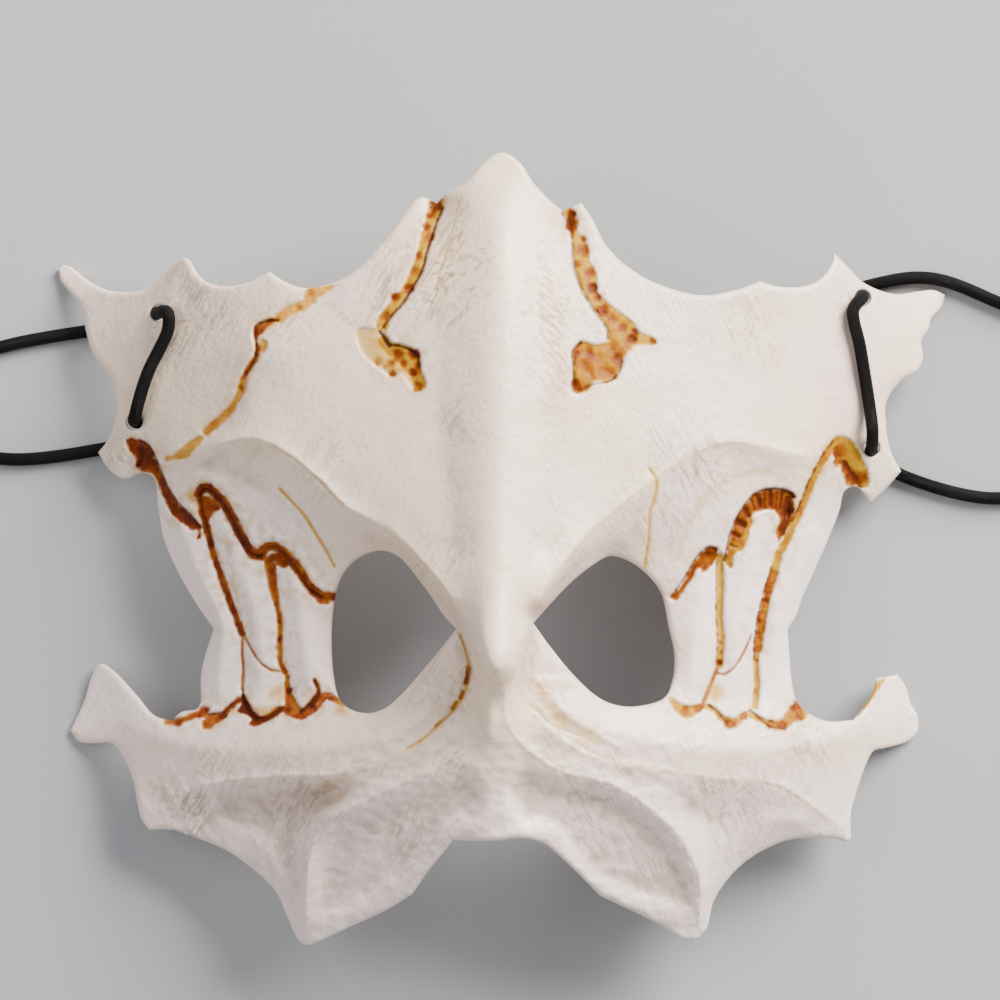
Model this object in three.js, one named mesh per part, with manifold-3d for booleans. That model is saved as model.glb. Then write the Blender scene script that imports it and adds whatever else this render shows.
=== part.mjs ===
// Half face mask cast as a horned beast skull, lying face up on its wing tips and cheek knobs.
// Millimetres: +X to the right of a front view, +Y up to the forehead, +Z out of the face.
// The floor is z = 0.
import * as THREE from 'three';
import { mergeVertices } from 'three/addons/utils/BufferGeometryUtils.js';
import Module from 'manifold-3d';

// Driving sizes
const WALL = 3.2; // cast wall, square to the surface
const STEEPEST_WALL = 2.4; // most that a steep flank may lengthen the wall along z
const CORD_DIAMETER = 3.6;
const CORD_HOLE_DIAMETER = 6;
const KNOT_DIAMETER = 7;
const KNOT_SHOULDER = { width: 0.86, place: 0.62 }; // shares of the half width and half length
const GAP = 0.5; // clearance between the knot and each end of the cord

// Fineness of the model
const RIM_STEP = 4.6; // chord of the outline's curves
const FACET_STEP = 4.6; // grid of the shell's faces
const FIELD_STEP = 1.5; // grid on which the face's heights are worked out
const FIELD_MARGIN = 9; // how far that grid reaches past the outline
const SWEEPS = 420; // relaxation sweeps of the height grid
const OVERSHOOT = 1.88; // over-relaxation factor
const BULGE = 0.006; // convexity of the bone between two folds, 1/mm
const SOFTENING_PASSES = 3; // rounds the folds' crests
const PRISM_HEIGHT = 120; // taller than the mask
const HOLE_SIDES = 12;
const CORD_SIDES = 8;
const KNOT_SIDES = 12;
const KNOT_RINGS = 8;
const STEPS_PER_ROUTE_POINT = 2;
const WELD = 1e-4; // vertices closer than this are one

// Outline of the shell, seen from the front: smooth stretches that meet at corners.
// Each row runs from its first point (x, y) to the next row's first point.
const OUTLINE = [
  { stretch: 'forehead', points: [[-18.1, 96.9], [-15.5, 99.4], [-10.2, 102.5], [-5.2, 107.8],
    [-0.1, 110.9], [4.6, 108.6], [9.1, 102.2], [13, 98]] },
  { stretch: 'right peak', points: [[17.2, 94.5], [19.5, 96]] },
  { stretch: 'right slope', points: [[22.3, 96.9], [25.3, 92.4], [29.5, 84.6], [36, 78.4],
    [44.4, 73.9], [56.1, 71.1], [66.8, 73.1]] },
  { stretch: 'right temple', points: [[72.1, 75.2], [76.9, 73.8], [84.4, 73.8], [89.2, 75.9],
    [92.3, 79.8]] },
  { stretch: 'right horn', points: [[93.4, 83.4], [97.6, 79.2], [101.2, 75.6], [105.4, 73.4],
    [111.3, 72], [117.5, 72.9], [122.5, 73.3]] },
  { stretch: 'right wing', points: [[125.3, 72], [124.5, 68.9], [121.4, 65.2], [120.5, 62.2],
    [118.4, 58.8], [118.9, 54.3], [117.2, 50.4], [112.7, 47.7], [108.4, 41.7], [108.2, 35.8],
    [109.6, 28]] },
  { stretch: 'right wing heel', points: [[112.7, 22.1], [108.8, 17.6]] },
  { stretch: 'right tooth side', points: [[104, 13.2], [100.9, 17.1], [99, 17.8], [96.5, 16.5],
    [95.1, 11.2], [92.8, 5], [89.2, -3.4], [84.4, -14], [82.7, -18.8]] },
  { stretch: 'right crown', points: [[80.4, -22.4], [80.8, -28], [82.7, -42], [86.1, -45.9],
    [92, -48.2]] },
  { stretch: 'right knob inside', points: [[99, -47.9], [103.2, -42.8], [105.1, -39.2]] },
  { stretch: 'right knob top', points: [[105.7, -36.4]] },
  { stretch: 'right knob', points: [[111.9, -35.3], [114.4, -39.2], [115.5, -43.4],
    [117.6, -47], [117.5, -51.5], [114.7, -54.3], [108.2, -56], [104.9, -56.8], [102.3, -61.6],
    [99.5, -70], [98.4, -74]] },
  { stretch: 'right jaw corner', points: [[98.4, -81.2]] },
  { stretch: 'right jaw', points: [[97, -82.3], [93.7, -81.3], [82.2, -81.3], [76.6, -83],
    [70.1, -86.5], [64.3, -91.6], [59.5, -98.8], [57.5, -106.4], [54.7, -109.1], [52.8, -109.5],
    [50.8, -109.1], [44.4, -105]] },
  { stretch: 'mouth notch', points: [[27.6, -96.6], [16.4, -85.4], [10.8, -81.2], [5.2, -80.1],
    [-1.8, -80.8]] },
  { stretch: 'left lip', points: [[-13.3, -80.8], [-20, -89]] },
  { stretch: 'left jaw', points: [[-24.8, -96], [-31.2, -100.2], [-42.4, -105.6],
    [-53.1, -110.6], [-54.8, -110.9], [-56.7, -109.8], [-60.3, -102.8], [-63.4, -96],
    [-71, -88.8], [-78.3, -84]] },
  { stretch: 'left jaw foot', points: [[-92.3, -78.7]] },
  { stretch: 'left jaw corner', points: [[-99.3, -78.8], [-101.5, -75.6], [-104, -64.4],
    [-107.1, -57.7], [-109.9, -54.6], [-113.8, -54.7], [-119.4, -54.3]] },
  { stretch: 'left knob', points: [[-121.9, -51.2], [-118, -42.8], [-115.5, -35],
    [-113.3, -32.2], [-110.2, -33.6], [-102.6, -41.2], [-97.9, -46.5]] },
  { stretch: 'left gum', points: [[-92.8, -48.2], [-90, -45.6], [-85.5, -44.7]] },
  { stretch: 'left crown', points: [[-84.4, -42.8], [-84.4, -34.2]] },
  { stretch: 'left tooth side', points: [[-80.9, -22.1], [-85, -16.5], [-91.4, -5.6],
    [-95.1, 3.4], [-96.7, 12.6], [-97.9, 20.2], [-101.2, 21.6], [-106, 19.9], [-110.5, 22.4]] },
  { stretch: 'left wing', points: [[-113.8, 27.4], [-110.7, 31.4], [-108.4, 40.3],
    [-109.9, 47.9], [-115.2, 55.4], [-117.2, 61.6], [-118.6, 68.3], [-124.5, 75.9]] },
  { stretch: 'left wing top', points: [[-125.3, 79.2], [-123.6, 80.4], [-121.9, 79.9],
    [-116.6, 75.9], [-111, 73.2], [-104, 72.5], [-99.3, 73.6], [-95.1, 77], [-91, 81],
    [-89.2, 82], [-87.5, 81.3], [-85.5, 77.8], [-82.5, 75], [-77.1, 73.8], [-71, 74.8]] },
  { stretch: 'left temple', points: [[-64.8, 77.8], [-60.3, 74.8], [-55.3, 73.2], [-49.4, 73.9],
    [-42.4, 76.7], [-34, 85], [-27.9, 93], [-23.7, 98.1], [-22, 98.6], [-20.3, 98.1]] },
];

// Eye holes, each one smooth stretch from its inner corner round to it again
const LEFT_EYE = [{ stretch: 'left eye', points: [[-12.5, -21.8], [-15.3, -19], [-21.7, -9.8],
  [-28.9, -1.6], [-34, -0.1], [-40.5, -2.6], [-44.7, -7.6], [-46.6, -14], [-47.5, -23.8],
  [-46.9, -35], [-45.2, -41.7], [-41.9, -44.5], [-36.8, -45.4], [-32.6, -44], [-28.4, -40.6],
  [-17.2, -27.7]] }];
const RIGHT_EYE = [{ stretch: 'right eye', points: [[8.8, -20.2], [13.6, -14.8], [19.2, -9],
  [24.8, -4.5], [30.4, -1.6], [36.5, -3.6], [41.6, -7.8], [44.7, -12.3], [46.6, -21],
  [48.3, -29.4], [47.7, -36.4], [45.5, -41.2], [38.8, -43.4], [33.2, -43.4], [27.6, -41.4],
  [20.6, -35.3], [13.6, -26.9]] }];

// Places of the cord's holes (x, y)
const CORD_HOLES = { leftUpper: [-96.2, 66.4], leftLower: [-103.2, 36], rightUpper: [101.5, 70.8],
  rightLower: [104.1, 28.6] };

// Folds of the face: crests, creases and rims through points (x, y, z) on the front of the bone.
// The bone between them is stretched like a skin and swells by BULGE.
const FOLDS = [
  { fold: 'keel', points: [[0, 110.9, 40.5], [-0.3, 100, 48.5], [-0.8, 80, 58.5],
    [-1.3, 55, 65.5], [-1.7, 25, 70], [-1.8, 0, 74.5], [-1.8, -20, 79], [-1.8, -34, 82]] },
  { fold: 'nose column', points: [[-3, -42, 62.5], [-3, -50, 60.5], [-2.5, -60, 58.5],
    [-2, -70, 56], [-2, -80.5, 53]] },

  { fold: 'left keel foot', points: [[-18, 96.9, 38.5], [-19, 80, 49.5], [-18, 55, 57],
    [-16, 25, 62], [-13, 0, 66.5]] },
  { fold: 'left brow', points: [[-92, 27, 26], [-76, 31, 38], [-66, 31.6, 44], [-58, 26.5, 48],
    [-45, 13.7, 53], [-33, 7.6, 57], [-21.7, -4, 63.5], [-12.7, -15.7, 70.5], [-6.6, -28, 77],
    [-3, -36, 80]] },
  { fold: 'left socket', points: [[-84, 24, 27.5], [-70, 18, 33], [-58, 7, 38.5], [-46, -3, 41]] },
  { fold: 'left eye rim', points: [[-46.9, -35, 37.5], [-47.5, -23.8, 37], [-46.6, -14, 38],
    [-44.7, -7.6, 40], [-34, -0.1, 46], [-28.9, -1.6, 49.5], [-21.7, -9.8, 53.5],
    [-12.5, -21.8, 53]] },
  { fold: 'left cheek rim', points: [[-12.5, -21.8, 53], [-17.2, -27.7, 51.5],
    [-28.4, -40.6, 48], [-36.8, -45.4, 45], [-44, -43.5, 41.5], [-46.9, -35, 37.5]] },
  { fold: 'left nose side', points: [[-12.5, -21.8, 53], [-9.5, -33.3, 55], [-12, -41.4, 55],
    [-17, -48.4, 54], [-26, -55, 52]] },
  { fold: 'left cheek bar', points: [[-104, -49, 13.5], [-92, -54, 22], [-76, -56, 31],
    [-60, -56, 39.5], [-44, -54, 46.5], [-30, -49.5, 51.5], [-20, -42, 54]] },
  { fold: 'left cheek edge', points: [[-90, -69, 21], [-78, -66.5, 28.5], [-66, -64.5, 35],
    [-51, -63.5, 42.5], [-38, -60.5, 48], [-26, -55, 52]] },
  { fold: 'left scoop', points: [[-84, -74, 20.5], [-70, -73.5, 25], [-58, -72, 30],
    [-46, -67.5, 38]] },
  { fold: 'left jaw ridge', points: [[-54.5, -110.5, 25], [-54.2, -93, 33], [-52, -82.3, 37],
    [-46, -73.4, 42.5], [-33, -67, 49], [-20, -61, 53.5]] },
  { fold: 'left jaw rim', points: [[-2, -80.8, 53], [-13.3, -80.8, 47.5], [-24.8, -96, 37.5],
    [-42.4, -105.6, 29.5], [-54.5, -110.5, 25], [-60.3, -102.8, 22.5], [-71, -88.8, 21],
    [-78.3, -84, 20], [-92.3, -78.7, 17.5], [-99.3, -78.8, 15], [-104, -64.4, 12.5],
    [-109.9, -54.6, 8.5], [-119.4, -54.3, 2.4], [-121.5, -50.8, 2], [-117.8, -43, 2.8],
    [-113.3, -32.4, 5], [-102.6, -41.2, 13.5], [-92.8, -48.2, 20], [-85.5, -44.7, 23]] },
  { fold: 'left outer tooth', points: [[-91, 9, 22.5], [-86, -5, 23.5], [-79.5, -20, 25.5],
    [-79, -33, 24.5], [-78.5, -42, 25.5]] },
  { fold: 'left tooth rim', points: [[-98, 20.2, 16.5], [-96.7, 12.6, 16], [-91.4, -5.6, 15],
    [-80.9, -22.1, 19], [-84.4, -34.2, 17.5], [-84.4, -42.8, 20]] },
  { fold: 'left outer seam', points: [[-83.3, 6.7, 25], [-79.7, -5, 25.5], [-72.7, -23.8, 27],
    [-72.7, -39.5, 27]] },
  { fold: 'left middle tooth', points: [[-78.5, 10, 29], [-72, -8, 31], [-67.5, -22, 32],
    [-66.5, -40, 32]] },
  { fold: 'left inner seam', points: [[-64.5, -4, 32.5], [-61.7, -21.8, 33], [-59.5, -41.4, 34]] },
  { fold: 'left inner tooth', points: [[-57, -8, 37.5], [-55, -22, 38], [-52.5, -38, 39]] },
  { fold: 'left temple line', points: [[-46, 74.5, 43], [-63, 64.7, 42], [-69, 54, 41],
    [-78, 37, 34.5], [-92, 27, 26]] },
  { fold: 'left wing crest', points: [[-89.2, 82, 25.5], [-93, 66, 25], [-99, 45, 21.5],
    [-103, 34, 18], [-107, 24, 13]] },
  { fold: 'left wing rim', points: [[-98, 20.2, 16.5], [-106, 20, 12], [-113.5, 27.2, 9.5],
    [-108.5, 40, 14.5], [-115.2, 55.4, 11], [-117.2, 61.6, 9.8], [-119, 69, 7],
    [-124.4, 76.5, 2.2], [-124, 79.6, 2], [-121, 79, 2.6], [-116.6, 75.9, 6],
    [-104, 72.5, 16.5], [-95.1, 77, 22], [-89.2, 82, 25.5], [-82.5, 75, 31], [-71, 74.8, 37],
    [-64.8, 77.8, 39], [-55.3, 73.2, 42], [-42.4, 76.7, 44], [-34, 85, 43.5], [-22, 98.6, 40],
    [-18, 96.9, 38.5]] },

  { fold: 'right keel foot', points: [[17.2, 94.5, 39], [16.5, 80, 49.5], [15.5, 55, 57],
    [13, 25, 62], [10.5, 0, 66.5]] },
  { fold: 'right brow', points: [[92, 26, 25.5], [78.3, 27, 36.5], [64, 31, 45], [53, 29, 50],
    [39.6, 16, 54.5], [29, 11, 58.5], [17.5, -3, 65.5], [10, -15, 71], [5, -28, 77],
    [0, -36, 80]] },
  { fold: 'right socket', points: [[86, 20, 26.5], [70, 19, 34], [57, 10, 39], [46, -1, 41.5]] },
  { fold: 'right eye rim', points: [[47.7, -36.4, 37.5], [48.3, -29.4, 37], [46.6, -21, 37.5],
    [44.7, -12.3, 39], [41.6, -7.8, 41.5], [30.4, -1.6, 48], [24.8, -4.5, 51.5], [19.2, -9, 54],
    [8.8, -20.2, 54]] },
  { fold: 'right cheek rim', points: [[8.8, -20.2, 54], [13.6, -26.9, 52.5], [27.6, -41.4, 48],
    [38.8, -43.4, 44.5], [45.5, -41.2, 41], [47.7, -36.4, 37.5]] },
  { fold: 'right nose side', points: [[8.8, -20.2, 54], [6, -33, 55.5], [6.5, -40, 56],
    [13, -47, 55], [25, -52, 52.5]] },
  { fold: 'right cheek bar', points: [[104, -49, 13], [92, -54, 21.5], [76, -56, 31],
    [60, -56, 39.5], [44, -54, 46.5], [30, -50.5, 51.5], [17, -44, 54.5]] },
  { fold: 'right cheek edge', points: [[94, -77, 16], [84.4, -70, 23], [71, -65.5, 31.5],
    [53, -62.7, 41.5], [35, -62, 48.5]] },
  { fold: 'right scoop', points: [[84, -76, 20], [70, -74, 25], [59, -76, 29], [52, -72, 35]] },
  { fold: 'right jaw ridge', points: [[54, -109, 25], [56, -93.2, 33], [52.2, -83.4, 37.5],
    [42.4, -71.7, 44.5], [29, -63.6, 50.5], [16.7, -59, 54.5]] },
  { fold: 'right jaw rim', points: [[-2, -80.8, 53], [5.2, -80.1, 52.5], [16.4, -85.4, 47],
    [27.6, -96.6, 38], [44.4, -105, 30], [54, -109, 25], [57.5, -106.4, 23.5],
    [59.5, -98.8, 22.5], [70.1, -86.5, 21], [82.2, -81.3, 18.5], [97, -82, 14.5],
    [99.5, -70, 13.5], [104.9, -56.8, 10], [114.7, -54, 3], [117.2, -50, 2], [115, -43.4, 2.6],
    [111.5, -35.8, 5], [105.7, -36.6, 10], [99, -47.9, 16.5], [92, -48.2, 20],
    [86.1, -45.9, 22.5]] },
  { fold: 'right outer tooth', points: [[87, 6, 23], [82, -8, 24], [78, -22, 25.5],
    [77, -33, 25], [77, -42, 25.5]] },
  { fold: 'right tooth rim', points: [[99, 17.8, 16], [95.1, 11.2, 15.5], [89.2, -3.4, 15],
    [80.4, -22.4, 19.5], [80.8, -28, 19], [82.7, -42, 20]] },
  { fold: 'right outer seam', points: [[78.5, 2, 26], [75, -8, 26.5], [71.5, -24, 27.5],
    [71, -42, 27.5]] },
  { fold: 'right middle tooth', points: [[75, 9, 30], [68, -8, 32], [66, -22, 32.5],
    [65.5, -40, 32]] },
  { fold: 'right inner seam', points: [[61, -4, 33.5], [60.5, -28, 33], [58, -41, 34.5]] },
  { fold: 'right inner tooth', points: [[56, -6, 37.5], [54.5, -22, 38], [53, -38, 38.5]] },
  { fold: 'right wing crest', points: [[93.4, 83.4, 23], [98, 70, 22.5], [103, 50, 20],
    [104.5, 30, 16.5], [105, 20, 13]] },
  { fold: 'right wing rim', points: [[99, 17.8, 16], [104, 13.4, 10], [112.4, 22.1, 9.5],
    [108.2, 35.8, 14.5], [108.4, 41.7, 14.5], [117.2, 50.4, 10.5], [118.4, 58.8, 9],
    [121.4, 65.2, 5.8], [124.4, 69.5, 2.2], [124.6, 72, 2], [121.5, 73, 2.8],
    [117.5, 72.9, 5.8], [111.3, 72, 11], [101.2, 75.6, 18.5], [93.4, 83.4, 23],
    [84.4, 73.8, 30.5], [72.1, 75.2, 37], [56.1, 71.1, 43], [36, 78.4, 45], [22.3, 96.9, 40],
    [17.2, 94.5, 39]] },
];

// Route of the cord's middle (x, y, z): from the knot through the right wing, out and back under
// the mask, through the left wing, out and back to the knot.
const CORD_ROUTE = [
  [-79.5, 34.6, 3.8], [-64, 37.3, 2.7], [60, 58.5, 2.2], [85, 64.7, 2.9],
  [96.5, 68.9, 8], [101.2, 70.8, 16], [101.3, 70.8, 22.4], [98.6, 67.2, 25.3],
  [100.6, 57, 24.5], [103.4, 40, 21.8], [104.1, 33.8, 23.1], [104.2, 28.5, 16.6],
  [104.3, 27.6, 8], [107.6, 24.4, 3], [114, 20.6, 2.1], [140, 14.5, 2.1],
  [162, 21, 2.1], [169, 42, 2.1], [160, 60, 2.1], [140, 70, 2.1],
  [120, 76.8, 2.1], [92, 72, 2.1], [0, 56.5, 2.3], [-70, 43.2, 2.6],
  [-94.5, 38, 6.4], [-102.9, 35.9, 15.4], [-102.7, 38.3, 22.3], [-99.5, 49, 24.3],
  [-93.4, 62, 28], [-93.5, 66.4, 29.1], [-96.4, 66.6, 23], [-97.2, 66.3, 14],
  [-102, 65, 5.2], [-110, 63, 2.6], [-140, 57.6, 2.2], [-160, 50.5, 2.1],
  [-160, 31.5, 2.1], [-140, 25.6, 2.1], [-106, 29.6, 2.2], [-92, 32.2, 3.8],
];

const wasm = await Module();
wasm.setup();

function toSolid(geometry) {
  geometry.deleteAttribute('normal');
  geometry.deleteAttribute('uv');
  const merged = mergeVertices(geometry, WELD);
  return new wasm.Manifold(new wasm.Mesh({
    numProp: 3,
    vertProperties: new Float32Array(merged.attributes.position.array),
    triVerts: new Uint32Array(merged.index.array),
  }));
}

function toGeometry(solid) {
  const mesh = solid.getMesh();
  const geometry = new THREE.BufferGeometry();
  geometry.setAttribute('position', new THREE.BufferAttribute(mesh.vertProperties, 3));
  geometry.setIndex(new THREE.BufferAttribute(mesh.triVerts, 1));
  geometry.computeVertexNormals();
  return geometry;
}

// Points along a closed run of smooth stretches
function closedOutline(stretches) {
  return stretches.flatMap(({ points }, i) => {
    const next = stretches[(i + 1) % stretches.length].points[0];
    const curve = new THREE.SplineCurve([...points, next].map(([x, y]) => new THREE.Vector2(x, y)));
    const chords = Math.max(1, Math.round(curve.getLength() / RIM_STEP));
    return curve.getSpacedPoints(chords).slice(0, -1);
  });
}

// Heights of the face on a fine grid: held at the folds and relaxed to a stretched skin elsewhere
function makeFaceHeight(box) {
  const columns = Math.ceil((box.max.x - box.min.x + 2 * FIELD_MARGIN) / FIELD_STEP) + 1;
  const rows = Math.ceil((box.max.y - box.min.y + 2 * FIELD_MARGIN) / FIELD_STEP) + 1;
  const left = box.min.x - FIELD_MARGIN;
  const low = box.min.y - FIELD_MARGIN;
  const total = new Float64Array(columns * rows);
  const count = new Float64Array(columns * rows);
  for (const { points } of FOLDS) {
    const curve = new THREE.CatmullRomCurve3(points.map((point) => new THREE.Vector3(...point)));
    const pins = Math.ceil(2 * curve.getLength() / FIELD_STEP);
    for (const { x, y, z } of curve.getSpacedPoints(pins)) {
      const column = Math.round((x - left) / FIELD_STEP);
      const row = Math.round((y - low) / FIELD_STEP);
      const node = row * columns + column;
      total[node] += z;
      count[node] += 1;
    }
  }
  const held = count.map((n) => Math.min(n, 1));
  const pinned = total.reduce((sum, value, node) => sum + (held[node] ? value / count[node] : 0), 0);
  const average = pinned / held.reduce((sum, value) => sum + value, 0);
  const height = total.map((value, node) => (held[node] ? value / count[node] : average));
  const neighbours = (column, row) => {
    const west = height[row * columns + Math.max(column - 1, 0)];
    const east = height[row * columns + Math.min(column + 1, columns - 1)];
    const south = height[Math.max(row - 1, 0) * columns + column];
    const north = height[Math.min(row + 1, rows - 1) * columns + column];
    return (west + east + south + north) / 4;
  };
  const swell = BULGE * FIELD_STEP * FIELD_STEP / 4;
  for (let sweep = 0; sweep < SWEEPS; sweep += 1) {
    for (let row = 0; row < rows; row += 1) {
      for (let column = 0; column < columns; column += 1) {
        const node = row * columns + column;
        const change = neighbours(column, row) + swell - height[node];
        if (!held[node]) height[node] += OVERSHOOT * change;
      }
    }
  }
  for (let pass = 0; pass < SOFTENING_PASSES; pass += 1) {
    const soft = height.map((value, node) => {
      const mean = neighbours(node % columns, Math.floor(node / columns));
      return (value + mean) / 2;
    });
    height.set(soft);
  }
  return (x, y) => {
    const across = (x - left) / FIELD_STEP;
    const up = (y - low) / FIELD_STEP;
    const column = THREE.MathUtils.clamp(Math.floor(across), 0, columns - 2);
    const row = THREE.MathUtils.clamp(Math.floor(up), 0, rows - 2);
    const below = row * columns + column;
    const above = below + columns;
    const lower = THREE.MathUtils.lerp(height[below], height[below + 1], across - column);
    const upper = THREE.MathUtils.lerp(height[above], height[above + 1], across - column);
    return THREE.MathUtils.lerp(lower, upper, up - row);
  };
}

// The cast wall over the whole field, before its outline is cut
function makeSlab(box, faceHeight) {
  const width = box.max.x - box.min.x + 2 * FACET_STEP;
  const length = box.max.y - box.min.y + 2 * FACET_STEP;
  const across = Math.round(width / FACET_STEP);
  const along = Math.round(length / FACET_STEP);
  const slab = new THREE.BoxGeometry(width, length, 1, across, along, 1);
  const middle = box.getCenter(new THREE.Vector2());
  const position = slab.attributes.position;
  for (let i = 0; i < position.count; i += 1) {
    const x = position.getX(i) + middle.x;
    const y = position.getY(i) + middle.y;
    const riseX = faceHeight(x + FIELD_STEP, y) - faceHeight(x - FIELD_STEP, y);
    const riseY = faceHeight(x, y + FIELD_STEP) - faceHeight(x, y - FIELD_STEP);
    const steepness = Math.hypot(2 * FIELD_STEP, riseX, riseY) / (2 * FIELD_STEP);
    const wall = WALL * Math.min(steepness, STEEPEST_WALL);
    const isFront = position.getZ(i) > 0;
    position.setXYZ(i, x, y, faceHeight(x, y) - (isFront ? 0 : wall));
  }
  return toSolid(slab);
}

function makeShell() {
  const rim = closedOutline(OUTLINE).reverse(); // counterclockwise, as a shape with holes expects
  const box = new THREE.Box2().setFromPoints(rim);
  const shape = new THREE.Shape(rim);
  shape.holes = [LEFT_EYE, RIGHT_EYE].map((eye) => new THREE.Path(closedOutline(eye)));
  for (const [x, y] of Object.values(CORD_HOLES)) {
    const hole = new THREE.EllipseCurve(x, y, CORD_HOLE_DIAMETER / 2, CORD_HOLE_DIAMETER / 2);
    shape.holes.push(new THREE.Path(hole.getPoints(HOLE_SIDES).slice(0, -1)));
  }
  const outline = new THREE.ExtrudeGeometry(shape, { depth: PRISM_HEIGHT, bevelEnabled: false });
  return toGeometry(makeSlab(box, makeFaceHeight(box)).intersect(toSolid(outline)));
}

// The route's curve, stepped by its own points so that the tight bends get the shorter steps
class RouteCurve extends THREE.CatmullRomCurve3 {
  getUtoTmapping(u) {
    return u;
  }
}

function makeCord() {
  const route = new RouteCurve(CORD_ROUTE.map((point) => new THREE.Vector3(...point)));
  const circle = new THREE.EllipseCurve(0, 0, CORD_DIAMETER / 2, CORD_DIAMETER / 2);
  const section = new THREE.Shape(circle.getPoints(CORD_SIDES).slice(0, -1));
  const steps = STEPS_PER_ROUTE_POINT * (CORD_ROUTE.length - 1);
  return toGeometry(toSolid(new THREE.ExtrudeGeometry(section, { steps, extrudePath: route })));
}

// The knot between the cord's two ends, turned about the line from one to the other
function makeKnot(length) {
  const half = length / 2;
  const waist = CORD_DIAMETER / 2;
  const belly = KNOT_DIAMETER / 2;
  const profile = new THREE.SplineCurve([
    new THREE.Vector2(waist, -half),
    new THREE.Vector2(KNOT_SHOULDER.width * belly, -KNOT_SHOULDER.place * half),
    new THREE.Vector2(belly, 0),
    new THREE.Vector2(KNOT_SHOULDER.width * belly, KNOT_SHOULDER.place * half),
    new THREE.Vector2(waist, half),
  ]).getPoints(KNOT_RINGS);
  const ends = [new THREE.Vector2(0, -half), new THREE.Vector2(0, half)];
  return new THREE.LatheGeometry([ends[0], ...profile, ends[1]], KNOT_SIDES);
}

const bone = new THREE.MeshStandardMaterial({ color: 0xece5de, roughness: 0.45, metalness: 0 });
const elastic = new THREE.MeshStandardMaterial({ color: 0x111112, roughness: 0.85, metalness: 0 });
const tied = new THREE.MeshStandardMaterial({ color: 0x141415, roughness: 0.9, metalness: 0 });

const shell = new THREE.Mesh(makeShell(), bone);
shell.name = 'skull_shell';

const cord = new THREE.Mesh(makeCord(), elastic);
cord.name = 'elastic_cord';

const cordStart = new THREE.Vector3(...CORD_ROUTE.at(0));
const cordEnd = new THREE.Vector3(...CORD_ROUTE.at(-1));
const knotLine = cordEnd.clone().sub(cordStart);
const knot = new THREE.Mesh(makeKnot(knotLine.length() - 2 * GAP), tied);
knot.name = 'cord_knot';
knot.position.copy(cordStart).addScaledVector(knotLine, 0.5);
knot.quaternion.setFromUnitVectors(new THREE.Vector3(0, 1, 0), knotLine.clone().normalize());

const mask = new THREE.Group();
mask.add(shell, cord, knot);

export default mask;
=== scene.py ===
# %% [markdown]
# # A half face mask cast as a horned beast skull
#
# The real mask is one hard hollow casting about 3 mm thick, painted bone white, with brown antiquing
# wiped into its cracks, and it is worn on a black round elastic. The packed model gives the frame: its
# solids say where everything lies, so each piece below is made in place, in metres, and nothing is
# fitted afterwards.

# %% Load the frame
import math
from collections import namedtuple

import bmesh
import bpy
import numpy as np
from mathutils import Matrix, Vector, geometry, noise
from mathutils.kdtree import KDTree


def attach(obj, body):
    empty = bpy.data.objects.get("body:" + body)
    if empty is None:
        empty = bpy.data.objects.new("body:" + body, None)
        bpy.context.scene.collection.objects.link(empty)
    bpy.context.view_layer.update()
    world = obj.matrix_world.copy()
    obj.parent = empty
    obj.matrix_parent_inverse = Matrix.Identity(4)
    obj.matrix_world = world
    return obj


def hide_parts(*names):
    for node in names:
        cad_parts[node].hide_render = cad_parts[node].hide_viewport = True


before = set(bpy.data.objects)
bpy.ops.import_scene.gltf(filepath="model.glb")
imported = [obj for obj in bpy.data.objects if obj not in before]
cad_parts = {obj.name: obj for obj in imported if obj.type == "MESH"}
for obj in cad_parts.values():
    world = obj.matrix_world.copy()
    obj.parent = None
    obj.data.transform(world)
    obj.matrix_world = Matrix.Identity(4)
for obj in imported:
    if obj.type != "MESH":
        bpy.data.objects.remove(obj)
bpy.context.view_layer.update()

MM = 0.001
print("nodes:", ", ".join(sorted(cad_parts)))

# %% [markdown]
# ## The camera
#
# The photograph looks straight at the face. The mask lies face up on the floor here, so the same view is
# from straight above. A long lens far away keeps the perspective as flat as it is in the picture. Places
# read off the photograph are pixels, and one scale turns them into millimetres on the mask.

# %% Camera and photo scale
PHOTO_PIXELS = 1000
PHOTO_SCALE = 0.28  # millimetres on the mask for one pixel
PHOTO_CENTRE = (-0.42, 14.0)  # millimetres, where the middle of the photo falls
CAMERA_HEIGHT = 3000.0  # millimetres above the floor
SHARP_HEIGHT = 30.0  # millimetres above the floor, where the scale is exact


def from_photo(pixels):
    """Millimetres on the mask for rows of photo pixels."""
    half = PHOTO_PIXELS / 2
    across, down = np.array(pixels, float).T
    x = PHOTO_CENTRE[0] + (across - half) * PHOTO_SCALE
    y = PHOTO_CENTRE[1] - (down - half) * PHOTO_SCALE
    return np.column_stack([x, y])


camera = bpy.data.objects.new("camera", bpy.data.cameras.new("camera"))
bpy.context.scene.collection.objects.link(camera)
camera.location = (PHOTO_CENTRE[0] * MM, PHOTO_CENTRE[1] * MM, CAMERA_HEIGHT * MM)
camera.data.angle = 2 * math.atan(PHOTO_PIXELS * PHOTO_SCALE / 2 / (CAMERA_HEIGHT - SHARP_HEIGHT))
bpy.context.scene.camera = camera
print("lens:", round(camera.data.lens), "mm")

# %% [markdown]
# ## The floor
#
# A plain pale floor shows the outline without drawing the eye. One big square is enough, because the
# camera never sees its border.

# %% Floor
FLOOR_COLOUR = (0.35, 0.365, 0.385)
FLOOR_ROUGHNESS = 0.8
FLOOR_REACH = 4  # metres from the middle to each side


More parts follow.
